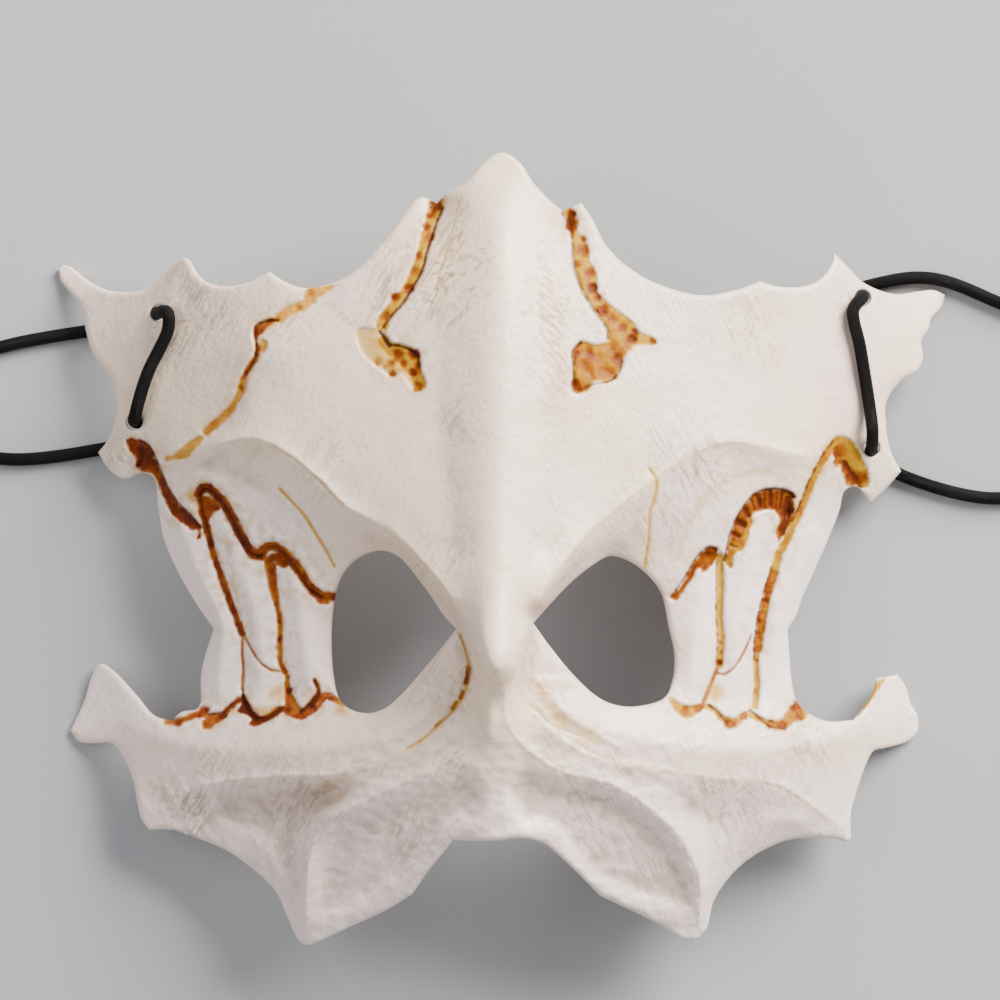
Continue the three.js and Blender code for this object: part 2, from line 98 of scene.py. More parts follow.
def plain_material(name, colour, roughness):
    material = bpy.data.materials.new(name)
    material.use_nodes = True
    shader = material.node_tree.nodes["Principled BSDF"]
    shader.inputs["Base Color"].default_value = (*colour, 1)
    shader.inputs["Roughness"].default_value = roughness
    return material


floor_mesh = bmesh.new()
bmesh.ops.create_grid(floor_mesh, x_segments=1, y_segments=1, size=FLOOR_REACH)
floor = bpy.data.objects.new("floor", bpy.data.meshes.new("floor"))
floor_mesh.to_mesh(floor.data)
floor_mesh.free()
floor.data.materials.append(plain_material("pale floor", FLOOR_COLOUR, FLOOR_ROUGHNESS))
bpy.context.scene.collection.objects.link(floor)
print("floor reaches:", max(corner.co.x for corner in floor.data.vertices), "m")

# %% [markdown]
# ## The light
#
# Soft light from big lamps shows the relief without hard shadows. The key lamp stands on the upper right,
# as in the photograph, so the left flank of the keel falls into soft shade. A weak fill, a rim lamp below
# the jaws and a pale world keep the shade open.

# %% Lamps and world
Lamp = namedtuple("Lamp", "place size power colour")  # metres, metres, watts and tint
LAMPS = {
    "key": Lamp((1.19, 1.17, 0.95), 1.3, 165, (1, 0.95, 0.89)),
    "fill": Lamp((-1.2, 0.3, 1.2), 1.2, 13, (1, 0.97, 0.95)),
    "rim": Lamp((0.1, -1.4, 0.6), 0.8, 5, (1, 0.96, 0.93)),
}
WORLD_COLOUR = (0.8, 0.82, 0.86)
WORLD_STRENGTH = 0.42


def add_lamp(name, lamp):
    """A square area lamp, aimed at the middle of the mask."""
    light = bpy.data.lights.new(name, "AREA")
    light.size = lamp.size
    light.energy = lamp.power
    light.color = lamp.colour
    holder = bpy.data.objects.new(name, light)
    holder.location = lamp.place
    holder.rotation_euler = (-Vector(lamp.place)).to_track_quat("-Z", "Y").to_euler()
    bpy.context.scene.collection.objects.link(holder)


for name, lamp in LAMPS.items():
    add_lamp(name, lamp)
world = bpy.data.worlds.new("studio")
world.use_nodes = True
background = world.node_tree.nodes["Background"]
background.inputs["Color"].default_value = (*WORLD_COLOUR, 1)
background.inputs["Strength"].default_value = WORLD_STRENGTH
bpy.context.scene.world = world
print("lamps:", ", ".join(LAMPS))

# %% [markdown]
# ## Smooth lines
#
# The outline, the ridges, the cracks and the cord are all smooth curves through a few points. A
# centripetal Catmull-Rom spline goes through every point and doesn't overshoot where the points lie close
# together, which the plain kind does.

# %% A spline through points


def smooth_line(points, step):
    """Points at most a step apart on a smooth curve through the given ones."""
    knots = np.array(points, float)
    knots = np.vstack([2 * knots[0] - knots[1], knots, 2 * knots[-1] - knots[-2]])
    pieces = []
    for a, b, c, d in zip(knots, knots[1:], knots[2:], knots[3:]):
        gaps = [math.sqrt(np.linalg.norm(end - start)) for start, end in ((a, b), (b, c), (c, d))]
        at = np.cumsum([0, *gaps])
        count = max(1, math.ceil(np.linalg.norm(c - b) / step))
        t = np.linspace(at[1], at[2], count, endpoint=False)[:, None]

        def between(start, end, i, j):
            return ((at[j] - t) * start + (t - at[i]) * end) / (at[j] - at[i])

        ab, bc, cd = between(a, b, 0, 1), between(b, c, 1, 2), between(c, d, 2, 3)
        pieces.append(between(between(ab, bc, 0, 2), between(bc, cd, 1, 3), 1, 2))
    return np.vstack([*pieces, knots[-2]])


def length_of(line):
    return float(np.linalg.norm(np.diff(line, axis=0), axis=1).sum())


bend = smooth_line([(0, 0), (1, 0), (1, 1)], 0.1)
print("a bend round a corner of 1 and 1 is", round(length_of(bend), 2), "long")

# %% [markdown]
# ## The elastic cord
#
# One loop of round black elastic threads through the two holes of each wing. It shows on the front of
# each wing, leaves at both sides and is knotted behind the left wing. A bevelled curve is the plain way to
# make a cord. It is turned into a mesh here, because the mesh keeps the curve's UV map, once around and
# once along, which the braid follows.

# %% The cord's tube
CORD_DIAMETER = 3.6  # millimetres, as all sizes from here on
CORD_STEP = 1.1
ROUND_STEPS = 4  # bevel resolution, a tube of 12 sides
SAME_PLACE = 0.001  # points closer than this part of the diameter are one
CORD_ROUTE = [
    (-79.5, 34.6, 3.8), (-64, 37.3, 2.7), (60, 58.5, 2.2), (85, 64.7, 2.9), (96.5, 68.9, 8),
    (101.2, 70.8, 16), (101.3, 70.8, 22.4), (98.6, 67.2, 25.3), (100.6, 57, 24.5), (103.4, 40, 21.8),
    (104.1, 33.8, 23.1), (104.2, 28.5, 16.6), (104.3, 27.6, 8), (107.6, 24.4, 3), (114, 20.6, 2.1),
    (140, 14.5, 2.1), (162, 21, 2.1), (169, 42, 2.1), (160, 60, 2.1), (140, 70, 2.1),
    (120, 76.8, 2.1), (92, 72, 2.1), (0, 56.5, 2.3), (-70, 43.2, 2.6), (-94.5, 38, 6.4),
    (-102.9, 35.9, 15.4), (-102.7, 38.3, 22.3), (-99.5, 49, 24.3), (-93.4, 62, 28), (-93.5, 66.4, 29.1),
    (-96.4, 66.6, 23), (-97.2, 66.3, 14), (-102, 65, 5.2), (-110, 63, 2.6), (-140, 57.6, 2.2),
    (-160, 50.5, 2.1), (-160, 31.5, 2.1), (-140, 25.6, 2.1), (-106, 29.6, 2.2), (-92, 32.2, 3.8),
]


def tube(name, line, diameter):
    """A closed round tube along a line of points in millimetres, as a mesh in metres."""
    curve = bpy.data.curves.new(name, "CURVE")
    curve.dimensions = "3D"
    curve.bevel_depth = diameter / 2 * MM
    curve.bevel_resolution = ROUND_STEPS
    curve.use_fill_caps = True
    spline = curve.splines.new("POLY")
    spline.points.add(len(line) - 1)
    spline.points.foreach_set("co", np.column_stack([line * MM, np.ones(len(line))]).ravel())
    holder = bpy.data.objects.new(name, curve)
    bpy.context.scene.collection.objects.link(holder)
    bpy.context.view_layer.update()
    mesh = bpy.data.meshes.new_from_object(holder)
    bpy.data.objects.remove(holder)
    shape = bmesh.new()
    shape.from_mesh(mesh)
    bmesh.ops.remove_doubles(shape, verts=shape.verts, dist=diameter * MM * SAME_PLACE)
    bmesh.ops.recalc_face_normals(shape, faces=shape.faces)
    shape.to_mesh(mesh)
    shape.free()
    return mesh


cord_line = smooth_line(CORD_ROUTE, CORD_STEP)
cord_length = length_of(cord_line)
print("cord:", round(cord_length), "mm long")

# %% [markdown]
# ## Joining shader nodes
#
# A material is a small net of nodes. It could be drawn in the shader editor, and in a script each node
# takes several lines. This paintbox makes a node and joins its inputs in one call, and it has short names
# for the two kinds that come up most: a sum on numbers and a blend of two colours.

# %% A paintbox for one material
BLEND_FIRST, BLEND_SECOND, BLENDED = 6, 7, 2  # a Mix node's sockets for colours


class Paintbox:
    """Adds shader nodes to a material and joins them."""

    def __init__(self, material):
        self.tree = material.node_tree
        self.shader = self.tree.nodes["Principled BSDF"]

    def make(self, kind, inputs=None, **settings):
        """A new node, each input joined to an output or set to a value."""
        node = self.tree.nodes.new(kind)
        for name, value in settings.items():
            setattr(node, name, value)
        for socket, value in (inputs or {}).items():
            if isinstance(value, bpy.types.NodeSocket):
                self.tree.links.new(value, node.inputs[socket])
            else:
                node.inputs[socket].default_value = value
        return node

    def sums(self, operation, a, b=0):
        return self.make("ShaderNodeMath", {0: a, 1: b}, operation=operation).outputs[0]

    def blend(self, factor, a, b, how="MIX"):
        colours = {0: factor}
        for socket, colour in ((BLEND_FIRST, a), (BLEND_SECOND, b)):
            joined = isinstance(colour, bpy.types.NodeSocket)
            colours[socket] = colour if joined else (*colour, 1)
        return self.make("ShaderNodeMix", colours, data_type="RGBA", blend_type=how).outputs[BLENDED]

    def join(self, **outputs):
        """Joins outputs to the shader's sockets, an underscore standing for a space."""
        for name, output in outputs.items():
            self.tree.links.new(output, self.shader.inputs[name.replace("_", " ")])


print("paintbox:", ", ".join(name for name in vars(Paintbox) if not name.startswith("_")))

# %% [markdown]
# ## Braided elastic
#
# The elastic has a braided textile cover. Two sets of fine yarns wind round the core in opposite
# directions, and each yarn dives under the next. In the material two slanted waves on the UV map stand for
# them, and the higher one wins. The gaps between the yarns are painted darker than their tops, as a
# painted shade, and the cover has hardly any shine.

# %% Braided elastic material
BRAID_PITCH = 4.0  # millimetres along the cord for one turn of a yarn
YARNS = 8  # yarns each way round
BRAID_DEPTH = 0.00012  # metres
BRAID_STRENGTH = 0.8
ELASTIC_BLACK = (0.004, 0.004, 0.0045)
# painted shade: the gaps between the yarns are darker than the yarn tops
YARN_GAP_SHADE = (0.0012, 0.0012, 0.0014)
YARN_TOP = (0.005, 0.005, 0.0055)
ELASTIC_ROUGHNESS = 0.6
ELASTIC_SHINE = 0.1


def elastic_material(name, turns):
    """Black elastic whose yarns wind round it a number of turns from end to end."""
    material = plain_material(name, ELASTIC_BLACK, ELASTIC_ROUGHNESS)
    box = Paintbox(material)
    box.shader.inputs["Specular IOR Level"].default_value = ELASTIC_SHINE
    uv = box.make("ShaderNodeUVMap", uv_map="UVMap").outputs["UV"]
    uv = box.make("ShaderNodeSeparateXYZ", {0: uv}).outputs
    along = box.sums("MULTIPLY", uv["Y"], turns * YARNS)
    around = box.sums("MULTIPLY", uv["X"], YARNS)
    yarns = []
    for way in ("ADD", "SUBTRACT"):
        angle = box.sums("MULTIPLY", box.sums(way, along, around), math.pi)
        yarns.append(box.sums("ABSOLUTE", box.sums("SINE", angle)))
    height = box.sums("MAXIMUM", *yarns)
    bump = {"Height": height, "Distance": BRAID_DEPTH, "Strength": BRAID_STRENGTH}
    normal = box.make("ShaderNodeBump", bump).outputs["Normal"]
    box.join(Normal=normal, Base_Color=box.blend(height, YARN_GAP_SHADE, YARN_TOP))
    return material


def add_piece(name, mesh, material, node):
    """A finished piece in the frame, in place of its solid."""
    piece = bpy.data.objects.new(name, mesh)
    bpy.context.scene.collection.objects.link(piece)
    mesh.materials.append(material)
    mesh.shade_smooth()
    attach(piece, "root")
    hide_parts(node)
    return piece


cord_tube = tube("cord", cord_line, CORD_DIAMETER)
cord_elastic = elastic_material("black braided elastic", cord_length / BRAID_PITCH)
cord = add_piece("elastic_cord_braid", cord_tube, cord_elastic, "elastic_cord")
print("cord faces:", len(cord.data.polygons))

# %% [markdown]
# ## The knot
#
# The two ends meet in a plain overhand knot under the left wing. A trefoil is the overhand knot's closed
# form, so a flat trefoil of the same elastic, pulled tight between the two ends, stands for it.

# %% The knot's trefoil
KNOT_POINTS = 64
KNOT_HALF_WIDTH = 3.5
KNOT_HALF_HEIGHT = 1.5
KNOT_STRAND = 2.6  # the elastic is drawn thin in the knot
TREFOIL_REACH = 3  # how far the trefoil's formula goes from the middle


def trefoil(start, end):
    """The closed line of a trefoil knot between two ends, lying flat."""
    angle = np.linspace(0, 2 * math.pi, KNOT_POINTS + 1)
    x = np.sin(angle) + 2 * np.sin(2 * angle)
    y = np.cos(angle) - 2 * np.cos(2 * angle)
    z = -np.sin(3 * angle)
    reach = np.linalg.norm(end - start) / 2 - CORD_DIAMETER / 2
    across, aside = x * reach / TREFOIL_REACH, y * KNOT_HALF_WIDTH / TREFOIL_REACH
    flat = np.column_stack([across, aside, z * KNOT_HALF_HEIGHT])
    heading = math.atan2(*(end - start)[1::-1])
    turn = np.array(Matrix.Rotation(heading, 3, "Z"))
    return flat @ turn.T + (start + end) / 2


knot_line = trefoil(cord_line[0], cord_line[-1])
knot_tube = tube("knot", knot_line, KNOT_STRAND)
knot_elastic = elastic_material("black braided elastic, knotted", length_of(knot_line) / BRAID_PITCH)
knot = add_piece("cord_knot_overhand", knot_tube, knot_elastic, "cord_knot")
print("knot line:", round(length_of(knot_line)), "mm")

# %% [markdown]
# ## The outline of the skull
#
# Seen from the front, the casting is bounded by scalloped stretches that meet at points: horns, wing
# tips, knobs and jaw corners. Each row is a smooth curve from its first point to the next row's first
# point, so that the corners stay sharp. The eyes and the cord holes are loops of their own.

# %% Outline, eyes and cord holes
OUTLINE = {
    "forehead": [(-18.1, 96.9), (-15.5, 99.4), (-10.2, 102.5), (-5.2, 107.8), (-0.1, 110.9),
        (4.6, 108.6), (9.1, 102.2), (13, 98)],
    "right peak": [(17.2, 94.5), (19.5, 96)],
    "right slope": [(22.3, 96.9), (25.3, 92.4), (29.5, 84.6), (36, 78.4), (44.4, 73.9), (56.1, 71.1),
        (66.8, 73.1)],
    "right temple": [(72.1, 75.2), (76.9, 73.8), (84.4, 73.8), (89.2, 75.9), (92.3, 79.8)],
    "right horn": [(93.4, 83.4), (97.6, 79.2), (101.2, 75.6), (105.4, 73.4), (111.3, 72), (117.5, 72.9),
        (122.5, 73.3)],
    "right wing": [(125.3, 72), (124.5, 68.9), (121.4, 65.2), (120.5, 62.2), (118.4, 58.8),
        (118.9, 54.3), (117.2, 50.4), (112.7, 47.7), (108.4, 41.7), (108.2, 35.8), (109.6, 28)],
    "right wing heel": [(112.7, 22.1), (108.8, 17.6)],
    "right tooth side": [(104, 13.2), (100.9, 17.1), (99, 17.8), (96.5, 16.5), (95.1, 11.2), (92.8, 5),
        (89.2, -3.4), (84.4, -14), (82.7, -18.8)],
    "right crown": [(80.4, -22.4), (80.8, -28), (82.7, -42), (86.1, -45.9), (92, -48.2)],
    "right knob inside": [(99, -47.9), (103.2, -42.8), (105.1, -39.2)],
    "right knob top": [(105.7, -36.4)],
    "right knob": [(111.9, -35.3), (114.4, -39.2), (115.5, -43.4), (117.6, -47), (117.5, -51.5),
        (114.7, -54.3), (108.2, -56), (104.9, -56.8), (102.3, -61.6), (99.5, -70), (98.4, -74)],
    "right jaw corner": [(98.4, -81.2)],
    "right jaw": [(97, -82.3), (93.7, -81.3), (82.2, -81.3), (76.6, -83), (70.1, -86.5), (64.3, -91.6),
        (59.5, -98.8), (57.5, -106.4), (54.7, -109.1), (52.8, -109.5), (50.8, -109.1), (44.4, -105)],
    "mouth notch": [(27.6, -96.6), (16.4, -85.4), (10.8, -81.2), (5.2, -80.1), (-1.8, -80.8)],
    "left lip": [(-13.3, -80.8), (-20, -89)],
    "left jaw": [(-24.8, -96), (-31.2, -100.2), (-42.4, -105.6), (-53.1, -110.6), (-54.8, -110.9),
        (-56.7, -109.8), (-60.3, -102.8), (-63.4, -96), (-71, -88.8), (-78.3, -84)],
    "left jaw foot": [(-92.3, -78.7)],
    "left jaw corner": [(-99.3, -78.8), (-101.5, -75.6), (-104, -64.4), (-107.1, -57.7),
        (-109.9, -54.6), (-113.8, -54.7), (-119.4, -54.3)],
    "left knob": [(-121.9, -51.2), (-118, -42.8), (-115.5, -35), (-113.3, -32.2), (-110.2, -33.6),
        (-102.6, -41.2), (-97.9, -46.5)],
    "left gum": [(-92.8, -48.2), (-90, -45.6), (-85.5, -44.7)],
    "left crown": [(-84.4, -42.8), (-84.4, -34.2)],
    "left tooth side": [(-80.9, -22.1), (-85, -16.5), (-91.4, -5.6), (-95.1, 3.4), (-96.7, 12.6),
        (-97.9, 20.2), (-101.2, 21.6), (-106, 19.9), (-110.5, 22.4)],
    "left wing": [(-113.8, 27.4), (-110.7, 31.4), (-108.4, 40.3), (-109.9, 47.9), (-115.2, 55.4),
        (-117.2, 61.6), (-118.6, 68.3), (-124.5, 75.9)],
    "left wing top": [(-125.3, 79.2), (-123.6, 80.4), (-121.9, 79.9), (-116.6, 75.9), (-111, 73.2),
        (-104, 72.5), (-99.3, 73.6), (-95.1, 77), (-91, 81), (-89.2, 82), (-87.5, 81.3), (-85.5, 77.8),
        (-82.5, 75), (-77.1, 73.8), (-71, 74.8)],
    "left temple": [(-64.8, 77.8), (-60.3, 74.8), (-55.3, 73.2), (-49.4, 73.9), (-42.4, 76.7),
        (-34, 85), (-27.9, 93), (-23.7, 98.1), (-22, 98.6), (-20.3, 98.1)],
}
EYES = {
    "left eye": [(-12.5, -21.8), (-15.3, -19), (-21.7, -9.8), (-28.9, -1.6), (-34, -0.1), (-40.5, -2.6),
        (-44.7, -7.6), (-46.6, -14), (-47.5, -23.8), (-46.9, -35), (-45.2, -41.7), (-41.9, -44.5),
        (-36.8, -45.4), (-32.6, -44), (-28.4, -40.6), (-17.2, -27.7)],
    "right eye": [(8.8, -20.2), (13.6, -14.8), (19.2, -9), (24.8, -4.5), (30.4, -1.6), (36.5, -3.6),
        (41.6, -7.8), (44.7, -12.3), (46.6, -21), (48.3, -29.4), (47.7, -36.4), (45.5, -41.2),
        (38.8, -43.4), (33.2, -43.4), (27.6, -41.4), (20.6, -35.3), (13.6, -26.9)],
}
CORD_HOLES = {
    "left upper": (-96.2, 66.4), "left lower": (-103.2, 36),
    "right upper": (101.5, 70.8), "right lower": (104.1, 28.6),
}
CORD_HOLE_DIAMETER = 4.6
HOLE_SIDES = 28
RIM_STEP = 0.9


def closed_loop(stretches, step):
    """Points round a closed run of smooth stretches."""
    rows = list(stretches)
    ends = [row[0] for row in rows[1:] + rows[:1]]
    return np.vstack([smooth_line([*row, end], step)[:-1] for row, end in zip(rows, ends)])


def circle(centre, diameter, sides):
    angle = np.arange(sides) * 2 * math.pi / sides
    return np.array(centre) + diameter / 2 * np.column_stack([np.cos(angle), np.sin(angle)])


rim_loops = [closed_loop(OUTLINE.values(), RIM_STEP)]
rim_loops += [closed_loop([eye], RIM_STEP) for eye in EYES.values()]
hole_loops = [circle(place, CORD_HOLE_DIAMETER, HOLE_SIDES) for place in CORD_HOLES.values()]
loops = rim_loops + hole_loops
print("loops:", [len(loop) for loop in loops], "points")

# %% [markdown]
# ## The bone's folds
#
# A sculptor would block out the ridges and hollows first and stretch the clay between them. The rows
# below are those lines: crests, creases and rims, each point with its height above the floor.

# %% Folds of the face
FOLDS = {
    "keel": [(0, 110.9, 40.5), (-0.3, 100, 48.5), (-0.8, 80, 58.5), (-1.3, 55, 65.5), (-1.7, 25, 70),
        (-1.8, 0, 74.5), (-1.8, -20, 78.4), (-1.7, -29, 80.4), (-1.6, -33.4, 79.8)],
    "nose tip": [(-10.2, -16.8, 70), (-8, -25.2, 72.5), (-5.9, -33, 72.5), (-3.8, -35.8, 71.5),
        (-1.3, -36.7, 71), (1.8, -35.6, 71.5), (4.6, -32.4, 72.5), (6.3, -26.6, 72.5),
        (8.3, -20.2, 70)],
    "nose bulb": [(-5, -14, 75.6), (-4.8, -22, 78.2), (-4.4, -28.6, 79.8), (-3.1, -32.2, 79.7),
        (-1.5, -33.4, 79.4), (0.2, -32.4, 79.2), (1.9, -28.6, 79), (2.5, -22, 77.2), (2.5, -14, 74.8)],
    "nose column": [(-3, -41, 65), (-3, -46, 63.2), (-3, -51, 61)],
    "left keel foot": [(-18, 96.9, 38.5), (-19, 80, 49.5), (-18, 55, 57), (-16, 25, 62),
        (-13, 0, 66.5)],
    "left brow": [(-92, 27, 26), (-76, 31, 38), (-66, 31.6, 44), (-58, 26.5, 48), (-45, 13.7, 53),
        (-33, 7.6, 57), (-21.7, -4, 63.5), (-12.7, -15.7, 69.5)],
    "left socket": [(-84, 24, 29), (-70, 18, 36), (-58, 7, 41.2), (-46, -3, 42)],
    "left eye rim": [(-46.9, -35, 37.5), (-47.5, -23.8, 37), (-46.6, -14, 38), (-44.7, -7.6, 40),
        (-34, -0.1, 46), (-28.9, -1.6, 49.5), (-21.7, -9.8, 53.5), (-12.5, -21.8, 53)],
    "left cheek rim": [(-12.5, -21.8, 53), (-17.2, -27.7, 51.5), (-28.4, -40.6, 48), (-36.8, -45.4, 45),
        (-44, -43.5, 41.5), (-46.9, -35, 37.5)],
    "left nose side": [(-12.5, -21.8, 53), (-9.5, -33.3, 55), (-12, -41.4, 55), (-17, -48.4, 54),
        (-26, -55, 52)],
    "left cheek bar": [(-104, -49, 13.5), (-92, -54, 22), (-76, -56, 31), (-60, -56, 39.5),
        (-44, -54, 46.5), (-30, -49.5, 51.5), (-20, -42, 54)],
    "left cheek edge": [(-90, -69, 21), (-78, -66.5, 28.5), (-66, -64.5, 35), (-51, -63.5, 42.5),
        (-38, -60.5, 48), (-26, -55, 52)],
    "left scoop": [(-84, -74, 20.5), (-70, -73.5, 25), (-58, -72, 30), (-46, -67.5, 38)],
    "left jaw ridge": [(-54.5, -110.5, 25), (-54.2, -93, 33), (-52, -82.3, 37), (-46, -73.4, 42.5),
        (-33, -67, 49), (-20, -61, 53.5)],
    "left jaw rim": [(-2, -80.8, 53), (-13.3, -80.8, 47.5), (-24.8, -96, 37.5), (-42.4, -105.6, 29.5),
        (-54.5, -110.5, 25), (-60.3, -102.8, 22.5), (-71, -88.8, 21), (-78.3, -84, 20),
        (-92.3, -78.7, 17.5), (-99.3, -78.8, 15), (-104, -64.4, 12.5), (-109.9, -54.6, 8.5),
        (-119.4, -54.3, 2.4), (-121.5, -50.8, 2), (-117.8, -43, 2.8), (-113.3, -32.4, 5),
        (-102.6, -41.2, 13.5), (-92.8, -48.2, 20), (-85.5, -44.7, 23)],
    "left outer tooth": [(-91, 9, 22.5), (-86, -5, 23.5), (-79.5, -20, 25.5), (-79, -33, 24.5),
        (-78.5, -42, 25.5)],
    "left tooth rim": [(-98, 20.2, 16.5), (-96.7, 12.6, 16), (-91.4, -5.6, 15), (-80.9, -22.1, 19),
        (-84.4, -34.2, 17.5), (-84.4, -42.8, 20)],
    "left outer seam": [(-83.3, 6.7, 25), (-79.7, -5, 25.5), (-72.7, -23.8, 27), (-72.7, -39.5, 27)],
    "left middle tooth": [(-78.5, 10, 29), (-72, -8, 31), (-67.5, -22, 32), (-66.5, -40, 32)],
    "left inner seam": [(-64.5, -4, 32.5), (-61.7, -21.8, 33), (-59.5, -41.4, 34)],
    "left inner tooth": [(-57, -8, 37.5), (-55, -22, 38), (-52.5, -38, 39)],
    "left temple line": [(-46, 74.5, 43), (-63, 64.7, 42), (-69, 54, 41), (-78, 37, 34.5),
        (-92, 27, 26)],
    "left wing crest": [(-89.2, 82, 25.5), (-93, 66, 25), (-99, 45, 21.5), (-103, 34, 18),
        (-107, 24, 13)],
    "left wing rim": [(-98, 20.2, 16.5), (-106, 20, 12), (-113.5, 27.2, 9.5), (-108.5, 40, 14.5),
        (-115.2, 55.4, 11), (-117.2, 61.6, 9.8), (-119, 69, 7), (-124.4, 76.5, 2.2), (-124, 79.6, 2),
        (-121, 79, 2.6), (-116.6, 75.9, 6), (-104, 72.5, 16.5), (-95.1, 77, 22), (-89.2, 82, 25.5),
        (-82.5, 75, 31), (-71, 74.8, 37), (-64.8, 77.8, 39), (-55.3, 73.2, 42), (-42.4, 76.7, 44),
        (-34, 85, 43.5), (-22, 98.6, 40), (-18, 96.9, 38.5)],
    "right keel foot": [(17.2, 94.5, 39), (16.5, 80, 49.5), (15.5, 55, 57), (13, 25, 62),
        (10.5, 0, 66.5)],
    "right brow": [(92, 26, 25.5), (78.3, 27, 36.5), (64, 31, 45), (53, 29, 50), (39.6, 16, 54.5),
        (29, 11, 58.5), (17.5, -3, 65.5), (10, -15, 70)],
    "right socket": [(86, 20, 28), (70, 19, 37), (57, 10, 42), (46, -1, 42.5)],
    "right eye rim": [(47.7, -36.4, 37.5), (48.3, -29.4, 37), (46.6, -21, 37.5), (44.7, -12.3, 39),
        (41.6, -7.8, 41.5), (30.4, -1.6, 48), (24.8, -4.5, 51.5), (19.2, -9, 54), (8.8, -20.2, 54)],
    "right cheek rim": [(8.8, -20.2, 54), (13.6, -26.9, 52.5), (27.6, -41.4, 48), (38.8, -43.4, 44.5),
        (45.5, -41.2, 41), (47.7, -36.4, 37.5)],
    "right nose side": [(8.8, -20.2, 54), (6, -33, 55.5), (6.5, -40, 56), (13, -47, 55),
        (25, -52, 52.5)],
    "right cheek bar": [(104, -49, 13), (92, -54, 21.5), (76, -56, 31), (60, -56, 39.5),
        (44, -54, 46.5), (30, -50.5, 51.5), (17, -44, 54.5)],
    "right cheek edge": [(94, -77, 16), (84.4, -70, 23), (71, -65.5, 31.5), (53, -62.7, 41.5),
        (35, -62, 48.5)],
    "right scoop": [(84, -76, 21.6), (70, -74, 28), (59, -76, 32.2), (52, -72, 37.2)],
    "right jaw ridge": [(54, -109, 25), (56, -93.2, 33), (52.2, -83.4, 37.5), (42.4, -71.7, 44.5),
        (29, -63.6, 50.5), (16.7, -59, 54.5)],
    "right jaw rim": [(-2, -80.8, 53), (5.2, -80.1, 52.5), (16.4, -85.4, 47), (27.6, -96.6, 38),
        (44.4, -105, 30), (54, -109, 25), (57.5, -106.4, 23.5), (59.5, -98.8, 22.5), (70.1, -86.5, 21),
        (82.2, -81.3, 18.5), (97, -82, 14.5), (99.5, -70, 13.5), (104.9, -56.8, 10), (114.7, -54, 3),
        (117.2, -50, 2), (115, -43.4, 2.6), (111.5, -35.8, 5), (105.7, -36.6, 10), (99, -47.9, 16.5),
        (92, -48.2, 20), (86.1, -45.9, 22.5)],
    "right outer tooth": [(87, 6, 23), (82, -8, 24), (78, -22, 25.5), (77, -33, 25), (77, -42, 25.5)],
    "right tooth rim": [(99, 17.8, 16), (95.1, 11.2, 15.5), (89.2, -3.4, 15), (80.4, -22.4, 19.5),
        (80.8, -28, 19), (82.7, -42, 20)],
    "right outer seam": [(78.5, 2, 26), (75, -8, 26.5), (71.5, -24, 27.5), (71, -42, 27.5)],
    "right middle tooth": [(75, 9, 30), (68, -8, 32), (66, -22, 32.5), (65.5, -40, 32)],
    "right inner seam": [(61, -4, 33.5), (60.5, -28, 33), (58, -41, 34.5)],
    "right inner tooth": [(56, -6, 37.5), (54.5, -22, 38), (53, -38, 38.5)],
    "right wing crest": [(93.4, 83.4, 23), (98, 70, 22.5), (103, 50, 20), (104.5, 30, 16.5),
        (105, 20, 13)],
    "right wing rim": [(99, 17.8, 16), (104, 13.4, 10), (112.4, 22.1, 9.5), (108.2, 35.8, 14.5),
        (108.4, 41.7, 14.5), (117.2, 50.4, 10.5), (118.4, 58.8, 9), (121.4, 65.2, 5.8),
        (124.4, 69.5, 2.2), (124.6, 72, 2), (121.5, 73, 2.8), (117.5, 72.9, 5.8), (111.3, 72, 11),
        (101.2, 75.6, 18.5), (93.4, 83.4, 23), (84.4, 73.8, 30.5), (72.1, 75.2, 37), (56.1, 71.1, 43),
        (36, 78.4, 45), (22.3, 96.9, 40), (17.2, 94.5, 39)],
}
print("folds:", len(FOLDS))

# %% [markdown]
# ## The bone between the folds
#
# On a grid of 1 mm the folds are held, and the rest is relaxed to a stretched skin that swells a little
# between them. Sculpting by hand could give the same forms, but a script can't repeat it. A grid of
# heights is the right tool here, because seen from the front the face hides nothing behind itself.

# %% Relaxing the skin between the folds
FIELD_STEP = 1.0
FIELD_MARGIN = 9.0
BULGE = 0.006  # convexity of the bone between two folds, 1/mm
SWEEPS = 500
OVERSHOOT = 1.93  # over-relaxation, which lets far heights settle sooner
SOFTENING_PASSES = 2
TINY = 1e-9

field_low = rim_loops[0].min(axis=0) - FIELD_MARGIN
field_high = rim_loops[0].max(axis=0) + FIELD_MARGIN
field_size = np.ceil((field_high - field_low) / FIELD_STEP).astype(int) + 1


def pinned_folds():
    """Heights that the folds ask for at the grid's nodes, and how firmly, from 0 to 1."""
    total, weight = np.zeros(field_size), np.zeros(field_size)
    for points in FOLDS.values():
        x, y, z = smooth_line(points, FIELD_STEP / 2).T
        across, up = (x - field_low[0]) / FIELD_STEP, (y - field_low[1]) / FIELD_STEP
        column, row = np.floor(across).astype(int), np.floor(up).astype(int)
        for i, share in ((column, 1 - across + column), (column + 1, across - column)):
            for j, part in ((row, 1 - up + row), (row + 1, up - row)):
                np.add.at(total, (i, j), share * part * z)
                np.add.at(weight, (i, j), share * part)
    return total / np.maximum(weight, TINY), np.minimum(weight, 1) ** 2


def neighbour_mean(grid):
    wide = np.pad(grid, 1, mode="edge")
    return (wide[:-2, 1:-1] + wide[2:, 1:-1] + wide[1:-1, :-2] + wide[1:-1, 2:]) / 4


